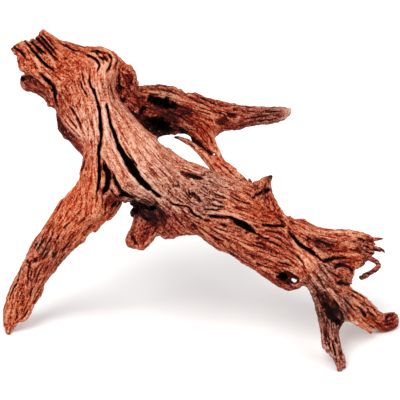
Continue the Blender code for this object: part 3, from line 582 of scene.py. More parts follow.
    (1.0, 4, 0.9, [(211, 204), (218, 206.4), (225, 207)]),
    (1.2, 5, 1.0, [(203, 209), (210, 209.4), (219, 210.4)]),
    (1.0, 4, 0.9, [(213, 193), (220, 196), (228, 199)]),
    (1.0, 4, 0.9, [(198, 181), (205, 184), (212, 184.6)]),
    # knob
    (1.4, 6, 1.0, [(157, 191), (160, 196), (165, 198), (171, 203), (176, 205), (185, 206), (190, 209), (194, 214), (199, 217), (205, 221), (212, 224)]),
    (1.0, 4, 0.9, [(158, 220), (152, 226), (146, 229), (140, 231)]),
    (0.9, 3, 0.8, [(165, 214), (170, 222), (176, 229)]),
    (0.9, 3, 0.8, [(172, 212), (178, 220), (186, 228)]),
    (0.9, 3, 0.8, [(149, 231), (146, 239), (141, 246)]),
    (0.8, 3, 0.8, [(160, 224), (156, 230), (151, 236)]),
    (0.8, 3, 0.7, [(182, 211), (190, 220), (198, 229)]),
    (0.8, 3, 0.7, [(166, 226), (171, 232), (174, 236)]),
    (1.2, 4, 0.9, [(140, 214), (146, 219), (154, 219)]),
    # gnarl on the trunk
    (0.9, 3, 0.8, [(199, 176.6), (203, 175), (207, 172.4), (211, 172), (213.6, 174.6)]),
    (0.8, 2.5, 0.7, [(201, 185), (206, 188.6), (214, 190.4), (222, 190)]),
    (1.0, 3, 0.8, [(175, 167), (183, 169), (192, 172), (200, 174)]),
    (1.1, 3, 1.0, [(173, 184), (178, 187)]),
    (1.1, 3, 1.0, [(176, 181), (179.5, 184)]),
    (0.9, 3, 0.9, [(162, 172), (167, 177)]),
    (0.9, 3, 1.0, [(187, 187), (189, 193), (190, 199)]),
    (0.9, 3, 1.0, [(191, 190), (193, 197)]),
    (0.9, 3, 1.0, [(194, 191), (196, 198), (202, 202)]),
    (0.8, 3, 0.9, [(197, 200), (203, 202)]),
    (0.7, 2, 0.7, [(184, 184), (187, 187)]),
    (0.7, 2, 0.7, [(188, 182), (194, 185)]),
    (1.2, 4, 1.0, [(210, 197), (215, 200), (220, 201), (224, 205)]),
    (1.0, 3, 0.9, [(211, 206.5), (220, 206)]),
    (1.0, 3, 0.9, [(204, 209.5), (213, 210), (222, 209.5)]),
    (1.0, 3, 0.9, [(223, 188), (229, 187)]),
    (1.2, 3, 0.9, [(231, 184), (234, 184)]),
    (1.3, 3, 0.9, [(239, 180), (243, 181)]),
    (0.9, 3, 0.8, [(225, 191), (232, 197), (240, 201), (250, 204), (257, 207)]),
    (0.8, 3, 0.7, [(228, 191), (236, 195), (244, 199), (251, 203)]),
    (0.8, 3, 0.8, [(238, 206), (250, 211), (257, 215)]),
    (0.7, 3, 0.7, [(208, 192), (211, 193)]),
    (0.8, 3, 0.8, [(204, 205), (209, 206)]),
    (0.8, 3, 0.7, [(206, 190), (216, 194), (228, 199), (238, 205)]),
    (0.6, 2, 0.5, [(180, 160), (190, 165), (200, 169), (207, 171)]),
    (0.6, 2, 0.5, [(166, 152), (176, 158), (188, 165)]),
    (0.7, 2, 0.6, [(158, 168), (168, 178), (177, 192), (185, 200)]),
    (0.7, 2, 0.6, [(165, 186), (172, 195), (182, 202), (193, 206)]),
    (0.6, 2, 0.5, [(182, 190), (186, 197), (192, 203), (202, 207)]),
    (0.7, 2, 0.6, [(216, 196), (226, 203), (238, 209), (252, 214), (262, 217)]),
    (0.7, 2, 0.6, [(243, 190), (250, 197), (258, 204), (266, 210)]),
    # the long hollow and what runs below it
    (1.5, 7, 1.0, [(207, 216.5), (213, 216), (220, 217), (228, 218)]),
    (1.9, 6, 1.0, [(217, 222.5), (224, 225), (229, 229)]),
    (1.6, 5, 1.0, [(255, 233.5), (262, 234.5)]),
    (1.8, 5, 1.0, [(256, 238), (260, 239)]),
    (1.0, 4, 0.9, [(243, 232), (250, 233.5)]),
    (0.9, 4, 0.9, [(231, 235), (238, 236), (243, 237.5)]),
    (1.2, 5, 1.0, [(250, 243), (257, 246), (263, 248), (270, 251)]),
    (1.2, 4, 1.0, [(243, 250), (247, 254), (250, 257.5)]),
    (1.4, 4, 1.0, [(264, 263), (268, 264)]),
    (1.0, 4, 0.9, [(235, 244), (237, 248), (238, 252)]),
    (1.2, 3, 0.9, [(266, 205), (270, 209)]),
    (1.0, 4, 0.9, [(252, 223), (257, 227), (262, 229)]),
    (0.8, 3, 0.8, [(202, 222), (210, 228), (219, 233), (228, 238)]),
    (0.8, 3, 0.8, [(196, 224), (205, 231), (214, 238), (222, 245)]),
    (0.8, 3, 0.7, [(190, 224), (199, 231), (206, 237)]),
    (1.2, 4, 0.9, [(213, 240), (219, 245), (221, 249)]),
    (0.8, 3, 0.8, [(224, 232), (232, 238), (240, 241), (250, 246)]),
    (0.8, 3, 0.7, [(228, 244), (236, 252), (245, 259), (254, 264)]),
    (0.8, 3, 0.8, [(251, 258), (258, 262), (262, 266)]),
    (0.8, 3, 0.8, [(250, 240), (258, 243), (268, 246), (276, 250)]),
    (0.8, 3, 0.8, [(262, 240), (272, 242), (280, 246), (288, 252)]),
    (1.2, 4, 1.0, [(271, 255), (276, 254), (283, 253)]),
    (1.0, 4, 0.9, [(266, 231), (275, 232), (283, 235)]),
    (0.8, 3, 0.8, [(270, 236), (279, 239), (288, 247)]),
    (0.9, 3, 0.8, [(262, 257), (272, 261), (282, 266), (291, 269)]),
    (1.3, 4, 0.9, [(276, 262), (286, 264), (296, 268)]),
    (0.9, 3, 0.8, [(268, 268), (276, 272), (283, 274)]),
    (0.8, 3, 0.8, [(262, 215), (272, 217), (280, 219)]),
    (0.8, 3, 0.9, [(278, 217), (283, 217.5)]),
    (0.8, 3, 0.7, [(254, 221), (264, 221), (274, 222)]),
    (1.0, 3, 0.9, [(296, 254), (302, 262), (306, 270)]),
    # spike
    (0.9, 3, 0.9, [(262, 182), (264, 186)]),
    (0.8, 3, 0.8, [(262, 197), (268, 199), (270, 206)]),
    (0.8, 3, 0.8, [(268, 194), (272, 202), (277, 211)]),
    (0.8, 3, 0.8, [(255, 202), (261, 206)]),
    # rear branch
    (0.9, 3, 0.7, [(136, 92), (150, 93), (163, 96), (178, 101), (192, 106)]),
    (0.8, 3, 0.7, [(160, 88), (172, 92), (184, 98), (196, 102)]),
    (0.9, 3, 0.9, [(186, 96), (194, 100), (204, 104), (214, 109)]),
    (0.9, 3, 0.9, [(196, 96), (207, 101), (218, 105), (230, 107)]),
    (0.8, 3, 0.7, [(175, 104), (190, 109), (206, 113), (216, 117)]),
    (0.8, 3, 0.7, [(182, 112), (196, 119), (208, 126), (213, 134)]),
    (0.8, 3, 0.7, [(186, 120), (196, 128), (203, 137), (208, 145)]),
    (0.8, 3, 0.7, [(168, 112), (182, 118), (192, 126)]),
    (0.9, 3, 0.9, [(232, 108), (238, 111.5)]),
    (0.8, 3, 0.8, [(224, 112), (234, 114), (244, 116)]),
    (0.7, 2, 0.7, [(244, 110), (258, 112), (272, 111.5), (284, 111)]),
    (0.7, 2, 0.7, [(240, 119), (254, 118), (268, 116), (282, 115)]),
    (0.7, 2, 0.7, [(236, 125), (250, 122), (264, 120), (278, 118)]),
    (0.8, 3, 0.7, [(215, 112), (224, 115), (228, 122)]),
    (1.0, 3, 0.8, [(206, 132), (210, 138), (213, 146)]),
    (0.8, 3, 0.8, [(218, 160), (226, 168), (234, 175)]),
    (0.8, 3, 0.8, [(212, 160), (220, 168), (228, 176), (236, 181)]),
    (0.8, 2, 0.7, [(184, 140), (192, 146), (200, 153), (208, 161)]),
    (1.2, 3, 0.9, [(226, 167), (229, 169)]),
    # burl
    (1.1, 5, 0.9, [(121.4, 62.6), (119.8, 68), (118.8, 76), (119.2, 84), (121, 92)]),
    (1.0, 4, 0.9, [(127, 70), (131, 73), (133, 79)]),
    (1.0, 4, 0.9, [(123, 86), (128, 87), (132, 92)]),
    (1.4, 4, 1.0, [(121, 74), (125, 78), (127, 84)]),
    (1.4, 4, 1.0, [(133, 76), (131, 83), (127, 87)]),
    (1.0, 3, 0.8, [(118, 84), (124, 88), (131, 90)]),
    (1.0, 3, 0.8, [(121, 93), (127, 96), (133, 96)]),
    (1.0, 3, 0.8, [(127, 104), (132, 112), (140, 122)]),
    (1.0, 3, 0.9, [(119, 66), (124, 70), (130, 71)]),
    # fork
    (1.2, 10, 1.0, [(287.6, 227.4), (290, 233), (295, 239.6), (300, 244.4), (306, 248.6), (312, 252.6), (320, 259.6)]),
    (1.7, 12, 1.0, [(297, 242), (301, 245.4), (306, 248.6), (311.4, 252), (318.4, 257.6)]),
    (0.8, 8, 1.0, [(309, 250.4), (314, 254), (319, 258.4), (324, 263)]),
    (1.0, 4, 0.9, [(287, 231), (290, 237), (293, 243)]),
    (0.9, 4, 0.9, [(299, 233), (306, 236), (311, 240)]),
    (0.9, 4, 0.9, [(295, 231), (301, 236), (307, 241), (309, 246)]),
    (0.8, 3, 0.7, [(310, 230), (322, 233), (334, 235), (346, 236)]),
    (0.8, 3, 0.45, [(312, 238), (324, 243), (338, 246), (350, 246)]),
    (0.8, 3, 0.45, [(318, 248), (330, 251), (344, 252), (355, 252)]),
    (1.0, 4, 0.9, [(358, 236), (364, 242), (370, 246)]),
    (1.0, 4, 0.9, [(346, 258), (354, 260), (362, 261)]),
    (0.8, 3, 0.8, [(338, 261), (350, 263), (358, 266)]),
    (1.0, 4, 0.9, [(364, 237), (371, 241), (378, 242)]),
    (1.0, 4, 0.9, [(366, 246), (372, 250), (378, 252.5)]),
    (0.8, 3, 0.8, [(290, 222), (300, 226), (308, 231)]),
    (0.8, 3, 0.8, [(326, 270), (334, 274), (342, 277)]),
    (0.8, 3, 0.8, [(320, 268), (328, 278), (337, 289)]),
    (1.2, 7, 1.0, [(363, 238), (369, 240.8), (375, 243.6), (380, 244.6)]),
    (1.2, 7, 1.0, [(363, 245.6), (369, 247.4), (375, 249.6), (380, 251)]),
    (1.1, 7, 1.0, [(364, 251.6), (370, 252.6), (376, 254.4), (380, 256)]),
    (1.0, 6, 1.0, [(352, 236), (360, 238.6), (366, 242.6), (371, 245)]),
    (1.0, 5, 0.9, [(350, 256.6), (358, 257.6), (366, 258.2)]),
    # tail
    (1.6, 5, 1.0, [(355, 305), (360, 308), (363, 312), (366, 316)]),
    (1.2, 4, 1.0, [(366, 311), (370, 314)]),
    (1.2, 4, 1.0, [(385, 322), (387, 317), (391, 315)]),
    (0.9, 3, 0.8, [(345, 292), (355, 297), (365, 303), (374, 310)]),
    (0.9, 3, 0.8, [(338, 294), (346, 301), (353, 309), (361, 318)]),
    (0.9, 3, 0.8, [(332, 298), (340, 307), (348, 315)]),
    (1.0, 4, 0.9, [(352, 314), (359, 321), (365, 326)]),
    (0.9, 3, 0.8, [(370, 317), (377, 323), (383, 328)]),
    (0.8, 3, 0.7, [(366, 300), (373, 307), (378, 315)]),
    (1.0, 4, 0.9, [(346, 288), (354, 292), (362, 296), (368, 300)]),
    (1.1, 5, 0.9, [(342, 297), (348, 303), (354, 310)]),
    (0.9, 4, 0.9, [(356, 300), (364, 306), (371, 314), (378, 321)]),
    (1.0, 4, 0.9, [(346, 309), (353, 316), (360, 322)]),
    (1.2, 5, 0.9, [(362, 319), (368, 324), (376, 329)]),
    (1.0, 4, 0.9, [(331, 284), (338, 289), (344, 293)]),
    # lower trunk
    (0.8, 4, 0.9, [(196, 214), (204, 219), (213, 222)]),
    (0.9, 4, 0.9, [(184, 214), (192, 220), (200, 224)]),
    (0.9, 4, 0.9, [(206, 232), (215, 238), (224, 241)]),
    (1.0, 5, 0.9, [(232, 264), (240, 268), (248, 270)]),
    (1.0, 5, 0.9, [(226, 250), (232, 254), (240, 257)]),
    (1.0, 5, 0.9, [(246, 253), (254, 256), (263, 257)]),
    (1.0, 5, 0.9, [(255, 262), (262, 266), (270, 268)]),
    (0.9, 4, 0.9, [(212, 226), (222, 230), (232, 232)]),
    (1.0, 5, 0.9, [(216, 222), (223, 226), (230, 229)]),
    (0.9, 4, 0.9, [(256, 234), (264, 238), (272, 239)]),
    (0.9, 4, 0.9, [(272, 250), (280, 254), (289, 255)]),
    # right leg
    (1.0, 4, 0.9, [(322, 296), (325, 308), (329, 320)]),
    (1.1, 4, 0.9, [(324, 326), (326, 336), (329, 346), (333, 355)]),
    (1.0, 4, 0.9, [(334, 332), (337, 342), (340, 352), (343, 362)]),
    (1.2, 4, 0.9, [(331, 338), (334, 348), (336, 356), (338, 364)]),
    (0.9, 3, 0.8, [(327, 329), (329, 338), (330, 347)]),
    (0.9, 3, 0.8, [(337, 338), (340, 348), (342, 357)]),
    (0.8, 3, 0.7, [(323, 330), (325, 340), (327, 348)]),
    (0.8, 3, 0.7, [(310, 268), (318, 280), (327, 291)]),
    (0.8, 3, 0.7, [(304, 268), (311, 281), (318, 291)]),
    (0.8, 3, 0.7, [(316, 262), (326, 276), (336, 290), (344, 299)]),
]

# Raised strands: (half width, height, the line on the elevation).
RIDGES = [
    (5.0, 2.6, [(22, 66), (27, 65), (33, 68), (38, 73)]),
    (3.6, 1.8, [(22, 86), (28, 87), (36, 90)]),
    (2.2, 1.6, [(104, 112), (106, 128), (110, 144), (118, 158), (127, 171), (138, 181), (150, 190)]),
    (2.0, 1.4, [(116, 132), (124, 146), (134, 160), (145, 174), (156, 184)]),
    (1.6, 1.4, [(63, 119), (70, 127), (78, 134), (85, 142)]),
    (1.6, 1.4, [(110, 182), (116, 191), (125, 198.5), (134, 199)]),
    (1.6, 1.2, [(100, 171), (103, 180), (101, 192)]),
    (1.8, 1.5, [(128, 117), (136, 127), (146, 134), (155, 141)]),
    (1.6, 1.3, [(176, 201), (188, 205.5), (198, 212), (208, 219)]),
    (1.4, 1.2, [(208, 213), (218, 213), (230, 214), (242, 219), (252, 228)]),
    (1.4, 1.2, [(212, 221), (224, 222), (236, 228), (246, 232)]),
    (1.6, 1.3, [(178, 166.6), (186, 169.4), (194, 171.2), (201, 172.6), (207, 170.6)]),
    (3.4, 1.7, [(206, 177), (212, 179.6), (218, 183), (222, 186.6)]),
    (1.5, 1.4, [(310, 227), (325, 231), (340, 232), (355, 233), (367, 236)]),
    (1.6, 1.6, [(342, 268), (352, 268), (360, 265), (366, 259)]),
    (1.2, 1.2, [(283, 216), (286, 224), (290, 233), (294, 241), (299, 248), (305, 253), (311, 257), (317, 262), (322, 265)]),
    (1.4, 1.2, [(48, 243), (46, 249), (43, 255)]),
    (1.2, 1.0, [(88, 187), (89, 196), (89, 206)]),
    (1.5, 1.2, [(60, 71), (52, 62), (44, 53), (37, 46)]),
    (1.4, 1.2, [(57, 60), (50, 52), (43, 45)]),
    (1.4, 1.2, [(56, 76), (46, 67), (36, 58), (27, 50)]),
    (1.8, 1.5, [(131, 238), (135, 246), (142, 249)]),
    (1.5, 1.2, [(86, 48.5), (96, 48.5), (106, 51), (114, 56), (118, 63)]),
    (1.5, 1.4, [(137, 90), (160, 93), (178, 98), (200, 106), (216, 111)]),
    (1.2, 1.0, [(240, 113), (256, 114), (272, 113), (286, 112)]),
]

# Colour zones on the elevation: (u, v, w, radius, strength, colour).  The colours are the light and dark tones of the
# wood, and painted shade in the hollows, cracks, notches and gaps.
PALE = (0.70, 0.37, 0.268)
PINK = (0.68, 0.295, 0.185)
SAND = (0.55, 0.305, 0.235)
AMBER = (0.65, 0.215, 0.105)
ORANGE = (0.57, 0.18, 0.09)
RUST = (0.46, 0.12, 0.06)
RED = (0.36, 0.068, 0.038)
# The next two are painted shade, dark red and near black, laid into hollows, cracks, notches and the gaps between
# splinters.
RED_SHADE = (0.17, 0.024, 0.016)
SHADE_BLACK = (0.045, 0.006, 0.005)
# Purple-brown: a tone of the wood, and round the right leg's hollow painted shade.
DUSK = (0.30, 0.10, 0.07)
TAUPE = (0.38, 0.165, 0.125)
ZONES = [
    (30, 50, 60, 14, 1.0, ORANGE),
    (45, 42, 60, 14, 1.0, ORANGE),
    (52, 62, 66, 12, 1.0, ORANGE),
    (70, 62, 72, 13, 1.2, AMBER),
    (26, 66, 62, 8, 1.3, AMBER),
    (26, 81, 58, 6, 2.2, RED_SHADE),
    (25, 88, 54, 5, 1.8, RED),
    (40, 92, 60, 9, 1.8, RED),
    (52, 98, 62, 8, 1.2, RUST),
    (62, 88, 70, 10, 1.1, ORANGE),
    (88, 50, 70, 12, 1.0, ORANGE),
    (100, 62, 72, 11, 1.1, PINK),
    (85, 88, 74, 13, 1.2, PINK),
    (105, 95, 74, 14, 1.4, PALE),
    (117, 58, 55, 8, 1.2, PINK),
    (129, 78, 40, 6, 2.0, RED),
    (122, 76, 46, 6, 2.4, AMBER),
    (127, 67, 42, 5, 2.0, AMBER),
    (121, 92, 45, 7, 1.3, RUST),
    (131, 98, 32, 8, 1.8, RED),
    (92, 125, 72, 14, 1.3, PALE),
    (118, 120, 70, 13, 1.6, PALE),
    (130, 140, 68, 15, 1.5, PALE),
    (112, 150, 66, 14, 1.4, PALE),
    (150, 155, 62, 15, 1.5, PALE),
    (70, 118, 62, 9, 1.4, RUST),
    (61, 128, 40, 8, 3.0, RED_SHADE),
    (74, 146, 42, 7, 2.6, RED),
    (92, 165, 55, 13, 1.2, AMBER),
    (88, 190, 42, 13, 1.2, AMBER),
    (120, 172, 60, 11, 1.2, PALE),
    (142, 187, 58, 10, 1.2, SAND),
    (104, 188, 38, 6, 1.6, RUST),
    (112, 201, 36, 7, 1.6, RUST),
    (165, 175, 60, 15, 1.5, SAND),
    (186, 164, 54, 12, 1.4, PALE),
    (190, 194, 58, 12, 2.0, SAND),
    (211, 183, 54, 9, 1.8, SAND),
    (229, 184, 48, 9, 1.5, SAND),
    (206, 206, 52, 8, 1.4, TAUPE),
    (207, 180, 54, 5, 2.0, TAUPE),
    (196, 199, 56, 5, 2.0, TAUPE),
    (213, 202, 50, 5, 1.4, TAUPE),
    (232, 256, 38, 4, 2.2, RED),
    (246, 262, 34, 4, 2.2, RED),
    (215, 241, 44, 4, 2.0, RED),
    (277, 243, 28, 4, 1.8, RED),
    (262, 230, 34, 4, 1.6, AMBER),
    (250, 244, 36, 5, 1.6, AMBER),
    (205, 232, 48, 5, 1.6, AMBER),
    (240, 200, 44, 13, 1.1, ORANGE),
    (262, 190, 34, 9, 1.1, RUST),
    (264, 191, 34, 4, 3.0, RED_SHADE),
    (265, 212, 34, 11, 1.1, ORANGE),
    (70, 215, 28, 15, 1.2, AMBER),
    (48, 238, 8, 8, 1.2, ORANGE),
    (45, 250, -2, 7, 1.4, TAUPE),
    (66, 240, 8, 12, 1.3, ORANGE),
    (53, 266, -14, 10, 1.6, RUST),
    (34, 270, -26, 10, 1.3, RUST),
    (26, 288, -38, 11, 1.3, ORANGE),
    (18, 303, -46, 11, 1.1, ORANGE),
    (12, 323, -58, 9, 1.0, ORANGE),
    # The next three: painted shade in the knob's hollow.
    (146, 203, 40, 9, 2.6, SHADE_BLACK),
    (154, 208, 36, 9, 2.6, RED_SHADE),
    (135, 208, 30, 8, 2.5, SHADE_BLACK),
    (158, 212, 26, 5, 2.4, RED),
    (148, 221, 30, 6, 2.4, RED),
    (140, 232, 30, 8, 2.0, RED),
    (140, 244, 28, 7, 1.5, RUST),
    (174, 222, 44, 9, 2.0, RED),
    (172, 234, 36, 8, 1.6, RUST),
    (195, 228, 46, 12, 1.5, RUST),
    (222, 238, 42, 14, 1.4, RUST),
    (248, 250, 34, 14, 1.4, RUST),
    (240, 223, 32, 7, 2.0, SHADE_BLACK),
    (272, 264, 28, 13, 1.5, RUST),
    (287, 275, 18, 8, 1.6, RED),
    (282, 240, 32, 13, 1.1, RUST),
    (302, 262, 22, 10, 1.2, PINK),
    (296, 226, 16, 9, 1.1, ORANGE),
    (325, 231, 6, 8, 1.4, PINK),
    (340, 232, 0, 8, 1.4, PINK),
    (355, 235, -6, 8, 1.4, PINK),
    (317, 244, -2, 6, 2.6, RED_SHADE),
    (334, 246, -8, 10, 1.7, RUST),
    (359, 248, -14, 5, 3.0, RED_SHADE),
    (356, 262, -6, 8, 1.6, AMBER),
    (374, 247, -16, 8, 1.6, RUST),
    (344, 275, 8, 7, 2.4, RED),
    (371, 271, -15, 8, 6.0, (0.17, 0.03, 0.018)),
    (274, 174.5, 26, 3, 8.0, SHADE_BLACK),
    (247, 176, 24, 2, 4.0, RED_SHADE),
    (381, 241, -7, 4, 4.0, RED_SHADE),
    (381, 254, -9, 4, 4.0, RED_SHADE),
    (341, 370, 0, 5, 3.0, RED),
    (3, 330, -58, 4, 1.5, RED),
    (376, 262, -16, 6, 4.0, RED),
    (320, 280, 14, 9, 1.2, TAUPE),
    # The right leg's hollow and the ground round it: painted shade.
    (331, 313, -2, 7, 2.6, SHADE_BLACK),
    (343, 304, 6, 8, 2.0, DUSK),
    (330, 298, 4, 8, 2.4, DUSK),
    (321, 294, 4, 6, 2.0, DUSK),
    (331, 332, -2, 9, 1.8, DUSK),
    (336, 350, 0, 10, 1.5, TAUPE),
    (338, 366, 0, 8, 1.2, TAUPE),
    (352, 298, -14, 9, 1.2, AMBER),
    (340, 288, 4, 8, 1.6, PINK),
    (358, 308, -24, 7, 1.4, PINK),
    (372, 314, -48, 10, 1.4, ORANGE),
    (392, 321, -62, 8, 1.7, RED),
    (150, 89, 14, 10, 1.2, ORANGE),
    (175, 94, 0, 11, 1.3, ORANGE),
    # The rear branch's two hollows: painted shade.
    (162, 104, -2, 10, 3.0, SHADE_BLACK),
    (154, 126, -2, 12, 3.5, SHADE_BLACK),
    (143, 106, 12, 7, 2.4, RED),
    (151, 113, 20, 6, 2.6, RED),
    (166, 113, 14, 8, 2.4, RED),
    (178, 114, 6, 8, 2.2, RED),
    (138, 98, 24, 6, 2.2, RED),
    (192, 113, -6, 9, 1.3, RUST),
    (205, 100, -18, 8, 1.4, ORANGE),
    (202, 128, -12, 9, 1.2, AMBER),
    (224, 116, -26, 7, 1.6, RED),
    (222, 108, -26, 8, 1.1, ORANGE),
    (245, 116, -34, 10, 1.8, RED),
    (256, 120, -38, 9, 1.6, DUSK),
    (272, 114, -44, 11, 2.0, DUSK),
    (288, 113, -50, 5, 2.2, SAND),
    (218, 158, 4, 9, 1.3, AMBER),
    (190, 144, -12, 9, 1.2, PINK),
    (233, 176, 22, 8, 1.2, PINK),
]
# The same on the sides that the elevation doesn't show: x, y, z of the middle in millimetres.
REAR_ZONES = [
    (-150, 30, 290, 26, 0.8, RUST),
    (-110, 50, 240, 30, 0.8, PINK),
    (-70, 45, 200, 30, 0.8, PINK),
    (-30, 35, 165, 30, 0.8, ORANGE),
    (20, 30, 140, 30, 0.8, SAND),
    (60, 30, 110, 28, 0.8, ORANGE),
    (100, 30, 90, 26, 0.8, RUST),
    (-120, 20, 140, 26, 0.8, ORANGE),
    (-160, 25, 90, 26, 0.8, RUST),
    (-180, 25, 40, 24, 0.8, ORANGE),
    (0, 60, 240, 24, 0.8, RUST),
    (50, 75, 245, 24, 0.8, DUSK),
]

# Where the wood is rugged and flaky: (u, v, w, radius, strength).
RUGGED = [
    (215, 232, 46, 15, 1.0),
    (240, 246, 38, 16, 1.0),
    (266, 252, 32, 15, 1.0),
    (285, 266, 22, 12, 1.0),
    (170, 226, 38, 13, 1.0),
    (142, 236, 30, 10, 1.0),
    (196, 188, 58, 14, 0.9),
    (225, 196, 48, 14, 0.7),
    (262, 200, 34, 13, 0.9),
    (130, 85, 38, 13, 1.0),
    (68, 84, 70, 12, 0.7),
    (50, 55, 64, 14, 0.5),
    (345, 262, 0, 16, 0.8),
    (372, 246, -14, 10, 1.0),
    (350, 298, -10, 12, 0.9),
    (374, 316, -48, 13, 1.0),
    (392, 321, -62, 8, 0.8),
    (200, 106, -16, 16, 0.6),
    (40, 280, -30, 14, 0.3),
    (60, 245, 0, 16, 0.3),
]

# Where the bark is nodular or pitted and not fibrous: (u, v, w, radius, strength).
NODULES = [
    (70, 64, 72, 13, 1.0),
    (62, 82, 70, 9, 0.8),
    (65, 96, 68, 9, 0.9),
    (127, 78, 38, 13, 1.3),
    (124, 94, 40, 10, 1.1),
    (135, 112, 24, 8, 0.8),
    (196, 190, 58, 13, 0.5),
    (228, 184, 48, 9, 0.5),
    (27, 70, 60, 9, 0.6),
    (140, 238, 30, 10, 0.6),
    (265, 205, 34, 10, 0.6),
    (255, 258, 28, 12, 0.5),
    (285, 266, 22, 10, 0.6),
    (345, 272, 6, 10, 0.7),
    (388, 322, -66, 9, 0.6),
    (155, 118, 4, 14, 0.7),
]


def say(text):
    print(f"[{time.perf_counter() - STARTED:6.1f} s] {text}", flush=True)


# ---------------------------------------------------------------- the elevation


def place(u, v, w):
    """Points in space, in millimetres, of points on the elevation."""
    u, v, w = np.broadcast_arrays(np.asarray(u, float), np.asarray(v, float), np.asarray(w, float))
    reach = (EYE_DISTANCE - w) / EYE_DISTANCE
    rise = (MIDDLE_V - v) * reach
    return np.stack(
        [
            (u - MIDDLE_U) * reach + SHIFT[0],
            rise * math.sin(LEAN) - w * math.cos(LEAN) + SHIFT[1],
            rise * math.cos(LEAN) + w * math.sin(LEAN) + SHIFT[2],
        ],
        -1,
    )


def elevation(points):
    """The u, v and w of points in space."""
    x = points[..., 0] - np.float32(SHIFT[0])
    y = points[..., 1] - np.float32(SHIFT[1])
    z = points[..., 2] - np.float32(SHIFT[2])
    w = z * np.float32(math.sin(LEAN)) - y * np.float32(math.cos(LEAN))
    rise = y * np.float32(math.sin(LEAN)) + z * np.float32(math.cos(LEAN))
    reach = (np.float32(EYE_DISTANCE) - w) / np.float32(EYE_DISTANCE)
    return np.float32(MIDDLE_U) + x / reach, np.float32(MIDDLE_V) - rise / reach, w


def resample(rows, step):
    """Rows of numbers with smooth in-between rows, about step apart along the middle line."""
    rows = np.array(rows, float)
    if rows.shape[1] == 7:
        mid = np.column_stack([(rows[:, 0] + rows[:, 2]) / 2, (rows[:, 1] + rows[:, 3]) / 2, rows[:, 4]])
    else:
        mid = rows[:, : min(3, rows.shape[1])]
    out = [rows[0]]
    for i in range(len(rows) - 1):
        a, b, c, d = rows[max(i - 1, 0)], rows[i], rows[i + 1], rows[min(i + 2, len(rows) - 1)]
        count = max(1, round(float(np.linalg.norm(mid[i + 1] - mid[i])) / step))
        for k in range(1, count + 1):
            t = k / count
            out.append(
                0.5
                * (2 * b + (c - a) * t + (2 * a - 5 * b + 4 * c - d) * t * t + (3 * b - 3 * c + d - a) * t * t * t)
            )
    return np.array(out)


# ---------------------------------------------------------------- lofts and fields


def tube(rings):
    """Points, triangles and quads of a closed loft through rings of points, shape (n, RING, 3)."""
    n, ring = rings.shape[:2]
    points = np.concatenate([rings.reshape(-1, 3), rings[0].mean(0)[None], rings[-1].mean(0)[None]])
    i = np.arange(ring)
    j = (i + 1) % ring
    base = (np.arange(n - 1) * ring)[:, None]
    quads = np.stack([base + i, base + j, base + ring + j, base + ring + i], -1).reshape(-1, 4)
    last = (n - 1) * ring
    triangles = np.concatenate(
        [np.stack([j, i, np.full(ring, n * ring)], -1), np.stack([last + i, last + j, np.full(ring, n * ring + 1)], -1)]
    )
    return points, triangles, quads


def limb_rings(rows):
    rows = resample(rows, SECTION_STEP)
    angle = 2 * np.pi * np.arange(RING) / RING
    across, out = np.cos(angle)[None], np.sin(angle)[None]
    lu, lv, ru, rv, w, front, back = (c[:, None] for c in rows.T)
    u = (lu + ru) / 2 + (ru - lu) / 2 * across
    v = (lv + rv) / 2 + (rv - lv) / 2 * across
    return place(u, v, w + out * np.where(out > 0, front, back))


def thin_rings(rows):
    rows = resample(rows, SECTION_STEP / 2)
    centre = place(rows[:, 0], rows[:, 1], rows[:, 2])
    radius = np.maximum(rows[:, 3], 0.62)
    along = np.gradient(centre, axis=0)
    along /= np.linalg.norm(along, axis=1, keepdims=True)
    angle = 2 * np.pi * np.arange(16) / 16
    side = np.array((0.0, 1.0, 0.0))
    rings = []
    for point, way, size in zip(centre, along, radius):
        side = side - way * side.dot(way)
        side = side / np.linalg.norm(side)
        up = np.cross(way, side)
        rings.append(point + size * (np.cos(angle)[:, None] * side + np.sin(angle)[:, None] * up))
    return np.array(rings)


def grow(field, rings, blend):
    """Joins a closed loft to the field, with a fillet of about blend millimetres."""
    points, triangles, quads = tube(rings)
    grid = vdb.FloatGrid.createLevelSetFromPolygons(
        points.astype(np.float32),
        triangles=triangles.astype(np.uint32),
        quads=quads.astype(np.uint32),
        transform=TRANSFORM,
        halfWidth=BAND / VOX,
    )
    margin = int(BAND / VOX) + 2
    low = np.maximum(np.floor(points.min(0) / VOX).astype(int) - margin, CELL_LOW)
    high = np.minimum(np.ceil(points.max(0) / VOX).astype(int) + margin, CELL_LOW + SHAPE)
    block = np.full(high - low, BAND, np.float32)
    grid.copyToArray(block, ijk=tuple(int(x) for x in low))
    a, b = low - CELL_LOW, high - CELL_LOW
    part = field[a[0] : b[0], a[1] : b[1], a[2] : b[2]]
    fillet = np.maximum(blend - np.abs(part - block), 0)
    part[...] = np.minimum(part, block) - fillet * fillet / (4 * blend)


def sample(grid, low, cell, points):
    """The grid's values at points, linear in between."""
    low = np.asarray(low, np.float32)
    size = grid.shape[:3]
    at = (points - low) / np.float32(cell)
    for axis in range(3):
        np.clip(at[:, axis], 0, size[axis] - 1.001, out=at[:, axis])
    index = at.astype(np.int32)
    part = at - index
    flat = grid.reshape(size[0] * size[1] * size[2], -1)
    base = (index[:, 0] * size[1] + index[:, 1]) * size[2] + index[:, 2]
    out = 0.0
    for dx in (0, 1):
        wx = part[:, 0] if dx else 1 - part[:, 0]
        for dy in (0, 1):
            wxy = wx * (part[:, 1] if dy else 1 - part[:, 1])
            for dz in (0, 1):
                weight = wxy * (part[:, 2] if dz else 1 - part[:, 2])
                out = out + flat.take(base + ((dx * size[1] + dy) * size[2] + dz), axis=0) * weight[:, None]
    return out if grid.ndim == 4 else out[:, 0]


